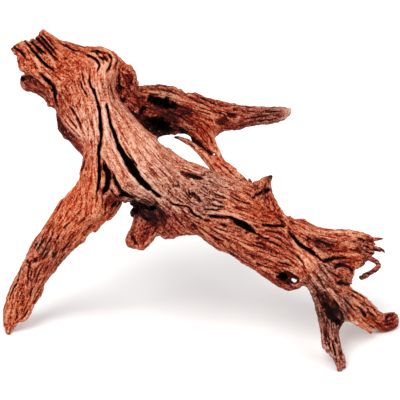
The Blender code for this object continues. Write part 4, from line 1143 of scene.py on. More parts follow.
def tiled(grid, cell, points):
    """Like sample, on a grid that repeats.  Its sides are powers of two."""
    size = grid.shape[:3]
    at = points / np.float32(cell)
    index = np.floor(at).astype(np.int32)
    part = at - index
    flat = grid.reshape(size[0] * size[1] * size[2], -1)
    x = (index[:, 0] & (size[0] - 1), (index[:, 0] + 1) & (size[0] - 1))
    y = (index[:, 1] & (size[1] - 1), (index[:, 1] + 1) & (size[1] - 1))
    z = (index[:, 2] & (size[2] - 1), (index[:, 2] + 1) & (size[2] - 1))
    out = 0.0
    for dx in (0, 1):
        wx = part[:, 0] if dx else 1 - part[:, 0]
        for dy in (0, 1):
            wxy = wx * (part[:, 1] if dy else 1 - part[:, 1])
            row = (x[dx] * size[1] + y[dy]) * size[2]
            for dz in (0, 1):
                weight = wxy * (part[:, 2] if dz else 1 - part[:, 2])
                out = out + flat.take(row + z[dz], axis=0) * weight[:, None]
    return out if grid.ndim == 4 else out[:, 0]


def noise_grid(side, channels, seed):
    made = np.random.default_rng(seed).standard_normal((side, side, side, channels)).astype(np.float32)
    return made if channels > 1 else made[..., 0]


def blurred(grid, spread):
    """A Gaussian blur along the first three axes; spread is in cells."""
    reach = max(1, int(spread * 2.5))
    weight = np.exp(-0.5 * (np.arange(-reach, reach + 1) / spread) ** 2)
    weight = (weight / weight.sum()).astype(np.float32)
    for axis in range(3):
        out = np.zeros_like(grid)
        for k, share in zip(range(-reach, reach + 1), weight):
            a = [slice(None)] * grid.ndim
            b = [slice(None)] * grid.ndim
            if k > 0:
                a[axis], b[axis] = slice(k, None), slice(None, -k)
            elif k < 0:
                a[axis], b[axis] = slice(None, k), slice(-k, None)
            out[tuple(a)] += grid[tuple(b)] * share
        grid = out
    return grid


def smoothstep(low, high, value):
    t = np.clip((value - low) / (high - low), 0, 1)
    return t * t * (3 - 2 * t)


# ---------------------------------------------------------------- the base shape

say("growing the limbs")
field = np.full(SHAPE, BAND, np.float32)
for rows in LIMBS:
    grow(field, limb_rings(rows), 5.0)
say("limbs grown")


def near(limit):
    """Flat indices and places of the cells with a value under limit."""
    index = np.flatnonzero(field.ravel() < limit)
    ix, rest = np.divmod(index, SHAPE[1] * SHAPE[2])
    iy, iz = np.divmod(rest, SHAPE[2])
    points = np.empty((len(index), 3), np.float32)
    for axis, i in enumerate((ix, iy, iz)):
        points[:, axis] = (i + CELL_LOW[axis]) * VOX
    return index, points


def in_parts(work, *arrays):
    """Works out a function of many rows in parts at once."""
    cuts = np.linspace(0, len(arrays[0]), max(1, len(arrays[0]) // 50000) + 1).astype(int)
    made = list(POOL.map(lambda k: work(*(a[cuts[k] : cuts[k + 1]] for a in arrays)), range(len(cuts) - 1)))
    return np.concatenate(made)


flat = field.reshape(-1)
index, points = near(3.0)
say(f"{len(index)} cells hold wood")

# Lumps, so that no limb is a plain tube.
lump_noise = noise_grid(32, 2, 11)
rim_noise = noise_grid(32, 1, 12)


def lumps(value, points):
    out = value - np.float32(FATTEN)
    shell = value > -BAND + 0.1
    at = points[shell]
    out[shell] += (tiled(lump_noise, 17.0, at)[:, 0] * 1.5 + tiled(lump_noise, 8.0, at)[:, 1] * 0.75).astype(np.float32)
    return out


value = in_parts(lumps, flat[index], points)
say("lumps made")


# ---------------------------------------------------------------- outline and depth map

FINE = 0.5  # the elevation maps' step, in elevation millimetres
MAP = int(400 / FINE) + 1


def map_sample(plane, u, v):
    """A map's values, linear in between."""
    x = np.clip(u / FINE, 0, MAP - 1.001)
    y = np.clip(v / FINE, 0, MAP - 1.001)
    i, j = x.astype(np.int32), y.astype(np.int32)
    fx, fy = x - i, y - j
    flat_map = plane.ravel()
    base = j * MAP + i
    return (flat_map[base] * (1 - fx) + flat_map[base + 1] * fx) * (1 - fy) + (
        flat_map[base + MAP] * (1 - fx) + flat_map[base + MAP + 1] * fx
    ) * fy


def highest(plane, u, v):
    """The highest of a map's four values round each place."""
    i = np.clip(u / FINE, 0, MAP - 1.001).astype(np.int32)
    j = np.clip(v / FINE, 0, MAP - 1.001).astype(np.int32)
    flat_map = plane.ravel()
    base = j * MAP + i
    return np.maximum(
        np.maximum(flat_map[base], flat_map[base + 1]), np.maximum(flat_map[base + MAP], flat_map[base + MAP + 1])
    )


def outline_distance(rings):
    """Signed distance to closed outlines, positive outside, up to 6 mm."""
    inside = np.zeros((MAP, MAP), bool)
    gap = np.full((MAP, MAP), 6.0, np.float32)
    steps = np.arange(MAP) * FINE
    for ring in rings:
        for (u0, v0), (u1, v1) in zip(ring, ring[1:] + ring[:1]):
            low, high = min(v0, v1), max(v0, v1)
            for j in range(math.ceil(low / FINE), MAP):
                v = j * FINE
                if not low <= v < high:
                    break
                cross = u0 + (u1 - u0) * (v - v0) / (v1 - v0)
                inside[j, max(0, math.ceil(cross / FINE)) :] ^= True
            i0, i1 = int(max(0, (min(u0, u1) - 6) / FINE)), int((max(u0, u1) + 6) / FINE) + 2
            j0, j1 = int(max(0, (low - 6) / FINE)), int((high + 6) / FINE) + 2
            u, v = steps[i0:i1][None], steps[j0:j1][:, None]
            run = (u1 - u0) ** 2 + (v1 - v0) ** 2
            t = np.clip(((u - u0) * (u1 - u0) + (v - v0) * (v1 - v0)) / max(run, 1e-9), 0, 1)
            far = np.hypot(u - u0 - t * (u1 - u0), v - v0 - t * (v1 - v0))
            gap[j0:j1, i0:i1] = np.minimum(gap[j0:j1, i0:i1], far)
    return np.where(inside, -gap, gap).astype(np.float32)


silhouette = outline_distance([OUTLINE] + WINDOWS)


def trimmed(value, points):
    u, v, _ = elevation(points)
    rough = tiled(lump_noise, 2.4, points)[:, 0] * 0.50 + tiled(lump_noise, 5.0, points)[:, 1] * 0.35
    return np.maximum(value, map_sample(silhouette, u, v) + rough).astype(np.float32)


flat[index] = in_parts(trimmed, value, points)
say("outline trimmed")
for rows in THIN_LIMBS.values():
    grow(field, thin_rings(rows), 2.0)
index, points = near(3.0)
value = flat[index]
before = field.copy()  # the wood before anything was hollowed out of it
cell_u, cell_v, cell_w = elevation(points)

# Deep hollows.
right = np.array((1.0, 0.0, 0.0))
down = np.array((0.0, -math.sin(LEAN), -math.cos(LEAN)))
front = np.array((0.0, -math.cos(LEAN), math.sin(LEAN)))
for u, v, w, long, high, deep, turn, rough in HOLLOWS:
    centre = place(u, v, w).astype(np.float32)
    reach = max(long, high, deep) + 4
    inside = np.flatnonzero((np.abs(points - centre) < reach).all(1))
    near_points = points[inside] - centre
    spin = math.radians(turn)
    along = math.cos(spin) * right + math.sin(spin) * down
    up = -math.sin(spin) * right + math.cos(spin) * down
    a = near_points @ (along / long).astype(np.float32)
    b = near_points @ (up / high).astype(np.float32)
    c = near_points @ (front / deep).astype(np.float32)
    distance = (np.sqrt(a * a + b * b + c * c) - 1) * min(long, high, deep)
    distance += (tiled(rim_noise, 5.0, points[inside]) + 0.6 * tiled(rim_noise, 2.2, points[inside])) * rough * 0.7
    value[inside] = np.maximum(value[inside], -distance)
flat[index] = value
say("hollowed")


def depth_map(field):
    """For each place on the elevation, the w of the nearest wood, or -999."""
    found = np.full(MAP * MAP, -999.0, np.float32)
    wood = value < 0
    seen = np.zeros((MAP, MAP), bool)
    seen[
        np.clip((cell_v[wood] / FINE).astype(int), 0, MAP - 1), np.clip((cell_u[wood] / FINE).astype(int), 0, MAP - 1)
    ] = True
    for _ in range(3):
        seen[1:] |= seen[:-1].copy()
        seen[:-1] |= seen[1:].copy()
        seen[:, 1:] |= seen[:, :-1].copy()
        seen[:, :-1] |= seen[:, 1:].copy()
    rays = np.flatnonzero(seen.ravel())
    u, v = (rays % MAP) * FINE, (rays // MAP) * FINE
    w = np.full(len(rays), 100.0)
    for _ in range(70):
        got = sample(field, CELL_LOW * VOX, VOX, place(u, v, w).astype(np.float32))
        hit = got < 0.15
        found[rays[hit]] = w[hit]
        go = ~hit & (w > -100)
        rays, u, v, w = rays[go], u[go], v[go], w[go] - np.maximum(got[go] * 0.85, 0.25)
        if not len(rays):
            break
    return found.reshape(MAP, MAP)


def spread_in(plane, times):
    """Fills the empty places of a depth map from their neighbours."""
    plane = plane.copy()
    for _ in range(times):
        grown = plane.copy()
        for axis, way in ((0, 1), (0, -1), (1, 1), (1, -1)):
            grown = np.maximum(grown, np.roll(plane, way, axis))
        plane = np.where(plane < -900, grown, plane)
    return plane


front_w = depth_map(field)
near_w = spread_in(front_w, 8)
say("depth map made")

# ---------------------------------------------------------------- the way the grain runs

COARSE = 4.0
COARSE_SHAPE = np.ceil((HIGH - LOW) / COARSE).astype(int) + 2


def splat(ways, weights):
    """A coarse grid of summed directions."""
    out = np.zeros((*COARSE_SHAPE, 3), np.float32)
    for place_at, way, weight in zip(*ways, weights):
        i = np.clip(np.round((place_at - LOW) / COARSE).astype(int), 0, COARSE_SHAPE - 1)
        np.add.at(out, (i[:, 0], i[:, 1], i[:, 2]), (way * weight).astype(np.float32))
    return out


def steps_along(line):
    way = np.gradient(line, axis=0)
    return way / np.maximum(np.linalg.norm(way, axis=-1, keepdims=True), 1e-6)


limb_places, limb_ways = [], []
for rows in LIMBS:
    rings = limb_rings(rows)
    for k in range(0, RING, 4):
        limb_places.append(rings[:, k])
        limb_ways.append(steps_along(rings[:, k]))
for rows in THIN_LIMBS.values():
    line = resample(rows, 2.0)
    line = place(line[:, 0], line[:, 1], line[:, 2])
    limb_places.append(line)
    limb_ways.append(steps_along(line))

stroke_places, stroke_ways = [], []
for stroke in STROKES + RIDGES:
    line = resample(stroke[-1], 1.5)
    w = near_w[np.clip((line[:, 1] / FINE).astype(int), 0, MAP - 1), np.clip((line[:, 0] / FINE).astype(int), 0, MAP - 1)]
    line, w = line[w > -900], w[w > -900]
    if len(line) < 3:
        continue
    # Jumps between limbs would send the grain into the depth.
    for _ in range(3):
        w = np.convolve(np.pad(w, 1, "edge"), (0.25, 0.5, 0.25), "valid")
    at = place(line[:, 0], line[:, 1], w)
    stroke_places.append(at)
    stroke_ways.append(steps_along(at))

limb_grain = splat((limb_places, limb_ways), [1.0] * len(limb_places))
stroke_grain = splat((stroke_places, stroke_ways), [1.0] * len(stroke_places))
# The strokes may be drawn either way, so each is turned to run with the limb under it.
limb_wide = blurred(limb_grain, 2.5) + 0.05 * blurred(limb_grain, 6.0)
turned = []
for at, way in zip(stroke_places, stroke_ways):
    under = sample(limb_wide, LOW, COARSE, at.astype(np.float32))
    turned.append(way * (1.0 if float((under * way).sum()) >= 0 else -1.0))
stroke_grain = splat((stroke_places, turned), [1.0] * len(turned))
grain = limb_wide + 2.5 * blurred(stroke_grain, 1.5) + 0.6 * blurred(stroke_grain, 3.0)
grain /= np.maximum(np.linalg.norm(grain, axis=-1, keepdims=True), 1e-6)
say("grain laid")


def streaks(start, recipe, step):
    """Noise drawn out along the grain.

    The recipe has a noise grid, its cell and the reach of each.  The noises come back side by side, each
    scaled to unit spread."""
    count = int(max(reach for _, _, reach in recipe) / step)

    def draw_out(start):
        def look(grid, cell, at):
            got = tiled(grid, cell, at)
            return got if got.ndim == 2 else got[:, None]

        totals = [look(grid, cell, start) for grid, cell, _ in recipe]
        for sense in (1.0, -1.0):
            at = start.copy()
            for k in range(1, count + 1):
                way = sample(grain, LOW, COARSE, at)
                way /= np.maximum(np.sqrt((way * way).sum(1, keepdims=True)), 1e-4)
                at = at + way * np.float32(sense * step)
                for n, (grid, cell, reach) in enumerate(recipe):
                    share = k * step / reach
                    if share <= 1:
                        totals[n] = totals[n] + look(grid, cell, at) * np.float32(0.5 + 0.5 * math.cos(math.pi * share))
        return np.concatenate(totals, 1)

    made = in_parts(draw_out, start)
    return made / np.maximum(made.std(0), 1e-6)


# ---------------------------------------------------------------- broad ribs and cracks, on every side

index_shell = np.flatnonzero((value > -5.5) & (value < 2.8))
COARSE2 = 2.0
shape2 = np.ceil((HIGH - LOW) / COARSE2).astype(int) + 2
mask2 = np.zeros(shape2, bool)
cell2 = np.round((points[index_shell] - LOW.astype(np.float32)) / COARSE2).astype(int)
mask2[cell2[:, 0], cell2[:, 1], cell2[:, 2]] = True
for axis in range(3):
    mask2 |= np.roll(mask2, 1, axis) | np.roll(mask2, -1, axis)
cells2 = np.argwhere(mask2)
start2 = (cells2 * COARSE2 + LOW).astype(np.float32)
say(f"{len(start2)} coarse cells")
broad = streaks(start2, [(noise_grid(64, 6, 21), 5.5, 55.0)], 3.0)
grid2 = np.zeros((*shape2, 6), np.float32)
grid2[cells2[:, 0], cells2[:, 1], cells2[:, 2]] = broad
say("broad streaks drawn")



def rugged(points):
    out = np.zeros(len(points), np.float32)
    for u, v, w, radius, strength_here in RUGGED:
        far = ((points - place(u, v, w).astype(np.float32)) ** 2).sum(1)
        out = np.maximum(out, strength_here * np.exp(-far / np.float32(2 * radius**2)))
    return out


def broad_carving(points, w, surface):
    broad = sample(grid2, LOW, COARSE2, points)
    ordered = np.sort(broad[:, :4], axis=1)
    edge = ordered[:, 3] - ordered[:, 2]
    strength = smoothstep(-0.8, 0.9, tiled(lump_noise, 26.0, points)[:, 0])
    calm = np.where(w > surface - 7.0, 0.30 + 0.45 * rugged(points), np.float32(1.0))
    crease = np.exp(-edge / 0.16)
    dome = 1 - np.exp(-edge / 0.7)
    slit = np.exp(-((broad[:, 4] / 0.10) ** 2)) * smoothstep(0.2, 0.9, broad[:, 5])
    return (calm * (crease * (1.0 + 3.2 * strength) + slit * 5.5) - dome * (0.4 + 0.6 * calm) + 0.3).astype(np.float32)


value[index_shell] += in_parts(
    broad_carving,
    points[index_shell],
    cell_w[index_shell],
    highest(near_w, cell_u[index_shell], cell_v[index_shell]),
)
say("broad ribs cut")

# ---------------------------------------------------------------- the drawn cracks and ridges

# Noise drawn out along the grain on the elevation gives what is drawn there its torn edges.
row, column = np.nonzero(near_w > -900)
made = streaks(
    place(column * FINE, row * FINE, near_w[row, column]).astype(np.float32),
    [(noise_grid(64, 1, 52), 1.5, 12.0), (noise_grid(64, 1, 53), 3.2, 20.0)],
    1.2,
)
torn = np.zeros((2, MAP, MAP), np.float32)
torn[:, row, column] = made.T
say("torn edges made")

groove = np.zeros((MAP, MAP), np.float32)
valley = np.zeros((MAP, MAP), np.float32)
# The shade painted into the cracks, darkest down their middles.
crack_shade = np.zeros((MAP, MAP), np.float32)
rim = np.zeros((MAP, MAP), np.float32)
raised = np.zeros((MAP, MAP), np.float32)
steps = np.arange(MAP) * FINE


wobble_noise = np.random.default_rng(41)


def draw(line, half, parts, taper=0.25):
    """Draws a tapered and slightly ragged line on maps: parts are (map, height, half width's factor, power)."""
    line = resample(line, 0.3)
    run = np.linspace(0, 1, len(line))
    size = np.clip(np.minimum(run, 1 - run) / taper, 0.1, 1) ** 0.7
    knots = wobble_noise.uniform(-1, 1, (3, len(line) // 8 + 3))
    wobble = [np.interp(np.arange(len(line)) / 8, np.arange(knots.shape[1]), row) for row in knots]
    size = size * (1 + min(0.3, 0.3 / half) * wobble[0])
    line = line + 0.3 * np.stack(wobble[1:], 1)
    for (u, v), scale in zip(line, size):
        for plane, height, factor, power in parts:
            reach = half * factor * (0.4 + 0.6 * scale)
            i0, i1 = int(max(0, (u - reach) / FINE)), int((u + reach) / FINE) + 2
            j0, j1 = int(max(0, (v - reach) / FINE)), int((v + reach) / FINE) + 2
            far = np.hypot(steps[i0:i1][None] - u, steps[j0:j1][:, None] - v) / reach
            got = height * scale * np.clip(1 - far**power, 0, 1)
            plane[j0:j1, i0:i1] = np.maximum(plane[j0:j1, i0:i1], got)


for half, depth, dark, line in STROKES:
    length = sum(math.dist(p, q) for p, q in zip(line, line[1:]))
    big = smoothstep(5.0, 9.0, depth)
    slim = half if half > 1.6 else 0.48 + 0.45 * half + 0.25 * float(big)
    dark *= 0.82 + 0.18 * float(big)
    depth *= 0.7 + 0.3 * float(big)
    taper = 0.25 if length > 14 else 0.5
    draw(
        line,
        slim,
        (
            (groove, depth, 1.3, 1.6),
            (valley, 0.3 + 0.3 * math.sqrt(depth), 3.2, 1.2),
            (crack_shade, dark, 1.2 + 0.1 * float(big), 2.0 + 6.0 * float(big)),
            (rim, dark, 3.2, 2.0),
        ),
        taper,
    )
shallow = smoothstep(9.0, 5.0, groove)
crack_shade *= 1 - shallow * np.clip(0.06 - 0.22 * torn[1] - 0.12 * torn[0], -0.2, 0.55)
groove *= 1 + shallow * np.clip(0.2 * torn[0] + 0.14 * torn[1], -0.5, 0.5)
# Round each crack a thin band is painted lighter: a painted highlight along its edges.
rim = np.clip(rim - 1.6 * crack_shade, 0, 1)
for half, height, line in RIDGES:
    draw(line, half, ((raised, height, 1.5, 2.0),))
sunk = np.zeros((MAP, MAP), np.float32)
# The shade painted into the recesses.
recess_shade = np.zeros((MAP, MAP), np.float32)
for depth, soft, dark, ring in RECESSES:
    within = -outline_distance([ring])
    ragged = 0.3 + 0.7 * smoothstep(1.0, 4.0, within.max())
    within = np.where(within > -4, within + ragged * (0.6 * torn[0] + 0.55 * torn[1]), within)
    sunk = np.maximum(sunk, depth * smoothstep(-0.3, soft, within) ** 0.8)
    recess_shade = np.maximum(recess_shade, dark * smoothstep(-0.2, 0.8 + 0.7 * soft, within))

cut = np.maximum(groove, valley) + sunk
surface_w = highest(near_w, cell_u, cell_v)
uneven = in_parts(lambda at: tiled(lump_noise, 3.2, at)[:, 0], points)
depth_here = map_sample(np.maximum(groove, valley), cell_u, cell_v) + map_sample(sunk, cell_u, cell_v) * (1 + 0.2 * uneven)
rise_here = map_sample(raised, cell_u, cell_v)
worked = (depth_here > 0.12) & (surface_w > -900) & (cell_w > surface_w - 30)
value[worked] = np.maximum(value[worked], np.minimum(cell_w[worked] - surface_w[worked] + depth_here[worked], BAND))
lifted = (rise_here > 0.1) & (np.abs(cell_w - surface_w) < 6)
value[lifted] -= rise_here[lifted] * np.exp(-((cell_w[lifted] - surface_w[lifted]) / 4.0) ** 2)
value = np.maximum(value, 0.02 - points[:, 2])
flat[index] = np.clip(value, -3.0, 3.0)
np.clip(field, -3.0, 3.0, out=field)
say("cracks drawn")

# ---------------------------------------------------------------- the surface


def blur_axis(grid, axis):
    a, b, c = [[slice(None)] * 3 for _ in range(3)]
    a[axis], b[axis], c[axis] = slice(0, -2), slice(1, -1), slice(2, None)
    middle = 0.5 * grid[tuple(b)]
    middle += 0.25 * grid[tuple(a)]
    middle += 0.25 * grid[tuple(c)]
    grid[tuple(b)] = middle


# The floor's plane stays sharp, because it is cut again below.
for axis in range(3):
    blur_axis(field, axis)
ground = (np.arange(SHAPE[2]) + CELL_LOW[2]) * VOX
np.maximum(field, (0.02 - ground).astype(np.float32)[None, None], out=field)
say("field smoothed")

grid = vdb.FloatGrid(3.0)
grid.transform = TRANSFORM
grid.copyFromArray(field, ijk=tuple(int(x) for x in CELL_LOW), tolerance=0.001)
verts, triangles, quads = grid.convertToPolygons(0.0, 0.0)
say(f"{len(verts)} points, {len(triangles)} triangles, {len(quads)} quads")
faces = np.concatenate([quads[:, [0, 1, 2]], quads[:, [0, 2, 3]], triangles.reshape(-1, 3)]).astype(np.int64)


def islands(count, faces):
    """A label for each vertex, the same on all of one body."""
    label = np.arange(count)
    ends = np.concatenate([faces[:, [0, 1]], faces[:, [1, 2]]])
    while True:
        least = np.minimum(label[ends[:, 0]], label[ends[:, 1]])
        before = label.copy()
        np.minimum.at(label, ends[:, 0], least)
        np.minimum.at(label, ends[:, 1], least)
        np.minimum.at(label, before, label)
        while True:
            jumped = label[label]
            if (jumped == label).all():
                break
            label = jumped
        if (label == before).all():
            return label


label = islands(len(verts), faces)
names, counts = np.unique(label, return_counts=True)
main_body = names[counts.argmax()]
keep = label == main_body
renumber = np.cumsum(keep) - 1
quads = renumber[quads[keep[quads[:, 0]]]] if len(quads) else quads
triangles = renumber[triangles[keep[triangles[:, 0]]]] if len(triangles) else triangles
verts = verts[keep].astype(np.float32)
say(f"{len(names)} islands, the root has {len(verts)} points")
faces = np.concatenate([quads[:, [0, 1, 2]], quads[:, [0, 2, 3]], triangles.reshape(-1, 3)]).astype(np.int64)


def vertex_normals(points, faces):
    a, b, c = points[faces[:, 0]], points[faces[:, 1]], points[faces[:, 2]]
    cross = np.cross(b - a, c - a)
    out = np.zeros((len(points), 3))
    for k in range(3):
        for axis in range(3):
            out[:, axis] += np.bincount(faces[:, k], cross[:, axis], len(points))
    return out / np.maximum(np.linalg.norm(out, axis=1, keepdims=True), 1e-12)


normals = vertex_normals(verts, faces)
way = sample(field, CELL_LOW * VOX, VOX, (verts + normals * 0.8).astype(np.float32)).mean()
if way < 0:
    quads, triangles, faces, normals = quads[:, ::-1], triangles[:, ::-1], faces[:, ::-1], -normals
say("normals made")

# ---------------------------------------------------------------- fine ribs and fibres

broad_fine = streaks(verts, [(noise_grid(64, 4, 31), 2.7, 34.0), (noise_grid(64, 2, 33), 4.2, 46.0)], 1.9)
ribs, bands = broad_fine[:, :4], broad_fine[:, 4:]
say("ribs drawn")
thin = streaks(verts, [(noise_grid(64, 4, 35), 1.35, 17.0)], 1.0)
say("thin ribs drawn")
fibres = streaks(verts, [(noise_grid(128, 1, 32), 0.75, 8.0)], 0.66)[:, 0]
say("fibres drawn")

# How much wood lies round each point tells hollows from edges: the tones paint shade into the hollows and highlights
# onto the edges by it.
inside = (field[::2, ::2, ::2] < 0).astype(np.float32)
near_blur = blurred(inside, 1.3)
wide_blur = blurred(inside, 3.5)
crowd = in_parts(lambda at: sample(near_blur, CELL_LOW * VOX, VOX * 2, at), verts)
wide_crowd = in_parts(lambda at: sample(wide_blur, CELL_LOW * VOX, VOX * 2, at), verts)
depth_in = in_parts(lambda at: -sample(before, CELL_LOW * VOX, VOX, at), verts)
say("hollows felt")

sturdy = smoothstep(0.14, 0.40, crowd)

pitted = np.zeros(len(verts), np.float32)
for u, v, w, radius, strength_here in NODULES:
    far = ((verts - place(u, v, w).astype(np.float32)) ** 2).sum(1)
    pitted = np.maximum(pitted, strength_here * np.exp(-far / np.float32(2 * radius**2)))
pitted = np.clip(pitted, 0, 1)


def creases(noises, width):
    """1 on the lines between the strands and 0 on them."""
    ordered = np.sort(noises, axis=1)
    return np.exp(-(ordered[:, 3] - ordered[:, 2]) / width)


nodule_noise = noise_grid(64, 4, 34)
nodules = in_parts(lambda at: tiled(nodule_noise, 2.4, at), verts)
knots = in_parts(lambda at: tiled(nodule_noise, 4.8, at), verts)
nodule_crease = np.maximum(creases(nodules / nodules.std(), 0.32), 0.9 * creases(knots / knots.std(), 0.22))
roughness_here = in_parts(rugged, verts)
strength = in_parts(lambda at: tiled(lump_noise, 15.0, at), verts)
rib_crease = creases(ribs, 0.17) * (0.45 + 0.55 * smoothstep(-1.0, 0.8, strength[:, 1]))
thin_crease = creases(thin, 0.22) * (0.35 + 0.65 * smoothstep(-1.0, 1.0, strength[:, 0]))
fibrous = 1 - pitted
crease_here = np.clip((rib_crease + 0.6 * thin_crease) * fibrous + nodule_crease * pitted, 0, 1.3)
height = (
    (-(1.25 + 0.5 * roughness_here) * rib_crease - (0.70 + 0.3 * roughness_here) * thin_crease + 0.18 * fibres) * fibrous
    + (-1.35 * nodule_crease + 0.15 * fibres) * pitted
    + 0.2 * bands[:, 0]
)
free = smoothstep(0.0, 1.5, verts[:, 2])
# The creases take wood away, so the strands between them stand a little proud.
verts = verts + (normals * ((height * (0.2 + 0.8 * sturdy) + 0.3) * free)[:, None]).astype(np.float32)
verts[:, 2] = np.maximum(verts[:, 2], 0.02)
normals = vertex_normals(verts, faces)
say("fine relief worked")

# ---------------------------------------------------------------- tones

vert_u, vert_v, vert_w = elevation(verts)
top_w = highest(near_w, vert_u, vert_v)
shown = vert_w > top_w - map_sample(cut, vert_u, vert_v) - 3.5
# The cracks' painted shade, on the points that the elevation shows.
crack_shade_here = map_sample(crack_shade, vert_u, vert_v) * shown
# The recesses' painted shade, on the points that the elevation shows.
hollowed = map_sample(recess_shade, vert_u, vert_v) * shown
# The painted highlight along the cracks' edges.
crack_rim_highlight = map_sample(rim, vert_u, vert_v) * shown


def mixed_tint(points):
    total = np.full(len(points), 1e-5, np.float32)
    tint = np.array(ORANGE, np.float32)[None] * total[:, None]
    for zones, rear in ((ZONES, False), (REAR_ZONES, True)):
        for a, b, c, radius, strength_here, colour in zones:
            centre = np.array((a, b, c), np.float32) if rear else place(a, b, c).astype(np.float32)
            weight = strength_here * np.exp(-((points - centre) ** 2).sum(1) / np.float32(2 * radius**2))
            total += weight
            tint += weight[:, None] * np.array(colour, np.float32)
    return tint / total[:, None]


tint = in_parts(mixed_tint, verts)
# Painted shade: the colour goes darker still deep in the painted cracks and recesses.
tint *= (1 - 0.8 * smoothstep(0.55, 0.95, np.maximum(crack_shade_here, hollowed)))[:, None]
say("tones mixed")

spots = in_parts(lambda at: tiled(lump_noise, 1.5, at), verts)
# The tone: 0 is the zone's own colour, 1 and more its darks and -1 its lights.  Beside the grain and random tones it
# holds painted shade in the cracks, creases, recesses and hollows, and painted highlights on the cracks' rims and on
# edges.
tone = (
    0.10
    - 0.20 * fibres
    + 1.1 * smoothstep(0.5, 1.7, -fibres)
    - (0.12 + 0.14 * roughness_here) * bands[:, 0]
    - (0.14 + 0.14 * roughness_here) * bands[:, 1]
    + 0.22 * spots[:, 0]
    # Darker grooves: grain lines, with painted shade in them.
    + (1.5 * rib_crease + 1.7 * thin_crease) * fibrous
    + 1.9 * nodule_crease * pitted
    # Painted shade in the cracks and recesses, painted highlight on the cracks' rims.
    + 3.2 * crack_shade_here**2
    + 0.6 * crack_shade_here
    - 0.40 * crack_rim_highlight
    + 3.0 * hollowed**1.3 * (1 - 0.35 * smoothstep(0.0, 1.2, spots[:, 1]))
    # Painted shade deep under the unhollowed wood and where much wood lies round; painted highlights on edges; darker
    # on the thinnest parts.
    + 0.9 * smoothstep(3.0, 6.0, depth_in)
    + 1.3 * smoothstep(0.60, 0.85, crowd)
    + 0.9 * smoothstep(0.58, 0.80, wide_crowd)
    - 0.60 * smoothstep(0.46, 0.36, crowd) * smoothstep(0.22, 0.34, crowd)
    - 0.15 * smoothstep(0.48, 0.25, wide_crowd)
    + 0.8 * smoothstep(0.32, 0.16, crowd)
)
say("tone percentiles " + str(np.percentile(tone, [5, 25, 50, 75, 95]).round(2)))
in_view = shown & (normals[:, 1] < 0)
say("in view " + str(np.percentile(tone[in_view], [5, 25, 50, 75, 95]).round(2)))

# ---------------------------------------------------------------- material


def wood_material():
    material = bpy.data.materials.new("mangrove_wood_fibrous")
    material.use_nodes = True
    tree = material.node_tree
    nodes, links = tree.nodes, tree.links
    shader = next(n for n in nodes if n.type == "BSDF_PRINCIPLED")
    shader.inputs["Metallic"].default_value = 0.0
    shader.inputs["Specular IOR Level"].default_value = 0.10

    def attribute(name):
        node = nodes.new("ShaderNodeAttribute")
        node.attribute_type = "GEOMETRY"
        node.attribute_name = name
        return node

    def math_node(kind, a, b=0.0, clamp=False):
        node = nodes.new("ShaderNodeMath")
        node.operation = kind
        node.use_clamp = clamp
        for socket, given in zip(node.inputs, (a, b)):
            if isinstance(given, (int, float)):
                socket.default_value = given
            else:
                links.new(given, socket)
        return node.outputs[0]

    coordinates = nodes.new("ShaderNodeTexCoord")
    marks = nodes.new("ShaderNodeSeparateColor")
    links.new(attribute("wood_grain_and_shade").outputs["Color"], marks.inputs[0])
    # Its first channel is the tone with its painted shade and highlights, its second the fibres.
    tone_in, fibre = marks.outputs[0], marks.outputs[1]

    def noise(scale, detail, rough):
        node = nodes.new("ShaderNodeTexNoise")
        node.inputs["Scale"].default_value = scale
        node.inputs["Detail"].default_value = detail
        node.inputs["Roughness"].default_value = rough
        links.new(coordinates.outputs["Object"], node.inputs["Vector"])
        return node.outputs[0]

    coarse, speck, dust = noise(150.0, 3.0, 0.6), noise(560.0, 3.0, 0.7), noise(950.0, 2.0, 0.6)
    # The tone is a power of the zone's colour, so that darks go through red to almost black.
    tone_here = math_node("SUBTRACT", math_node("MULTIPLY", tone_in, 6.0), 2.0)
    tone_here = math_node("ADD", tone_here, math_node("MULTIPLY", math_node("SUBTRACT", speck, 0.5), 5.0))
    tone_here = math_node("ADD", tone_here, math_node("MULTIPLY", math_node("SUBTRACT", dust, 0.5), 2.8))
    tone_here = math_node("ADD", tone_here, math_node("MULTIPLY", math_node("SUBTRACT", coarse, 0.5), 0.9))
    power = math_node("POWER", 2.0, math_node("MINIMUM", math_node("MAXIMUM", tone_here, -0.75), 3.9))
    gamma = nodes.new("ShaderNodeGamma")
    links.new(attribute("wood_tint").outputs["Color"], gamma.inputs["Color"])
    links.new(power, gamma.inputs["Gamma"])
    shaded = nodes.new("ShaderNodeVectorMath")
    shaded.operation = "MULTIPLY_ADD"
    links.new(gamma.outputs[0], shaded.inputs[0])
    shaded.inputs[1].default_value = (0.86, 0.80, 0.74)
    shaded.inputs[2].default_value = (0.005, 0.0007, 0.0005)
    links.new(shaded.outputs[0], shader.inputs["Base Color"])
    rough = math_node("ADD", math_node("MULTIPLY", speck, 0.25), 0.60, True)
    links.new(rough, shader.inputs["Roughness"])
    bump = nodes.new("ShaderNodeBump")
    bump.inputs["Strength"].default_value = 0.7
    bump.inputs["Distance"].default_value = 0.0005
    relief = math_node("ADD", math_node("MULTIPLY", speck, 1.0), math_node("MULTIPLY", fibre, 0.8))
    links.new(relief, bump.inputs["Height"])
    links.new(bump.outputs[0], shader.inputs["Normal"])
    return material


material = wood_material()

# ---------------------------------------------------------------- pieces

# Each piece takes the faces nearest to its middle: (x, y, z) in millimetres.
PIECES = {
    "root_crown": (-150, -10, 275),
    "root_shoulder": (-95, -10, 215),
    "root_left_leg": (-150, 0, 80),
    "root_trunk_upper": (-45, -5, 165),
    "root_rear_branch": (20, 40, 240),
    "root_trunk_lower": (55, -15, 115),
    "root_fork_and_feet": (140, -20, 70),
}
names = list(PIECES)
middles = np.array([PIECES[n] for n in names], float)


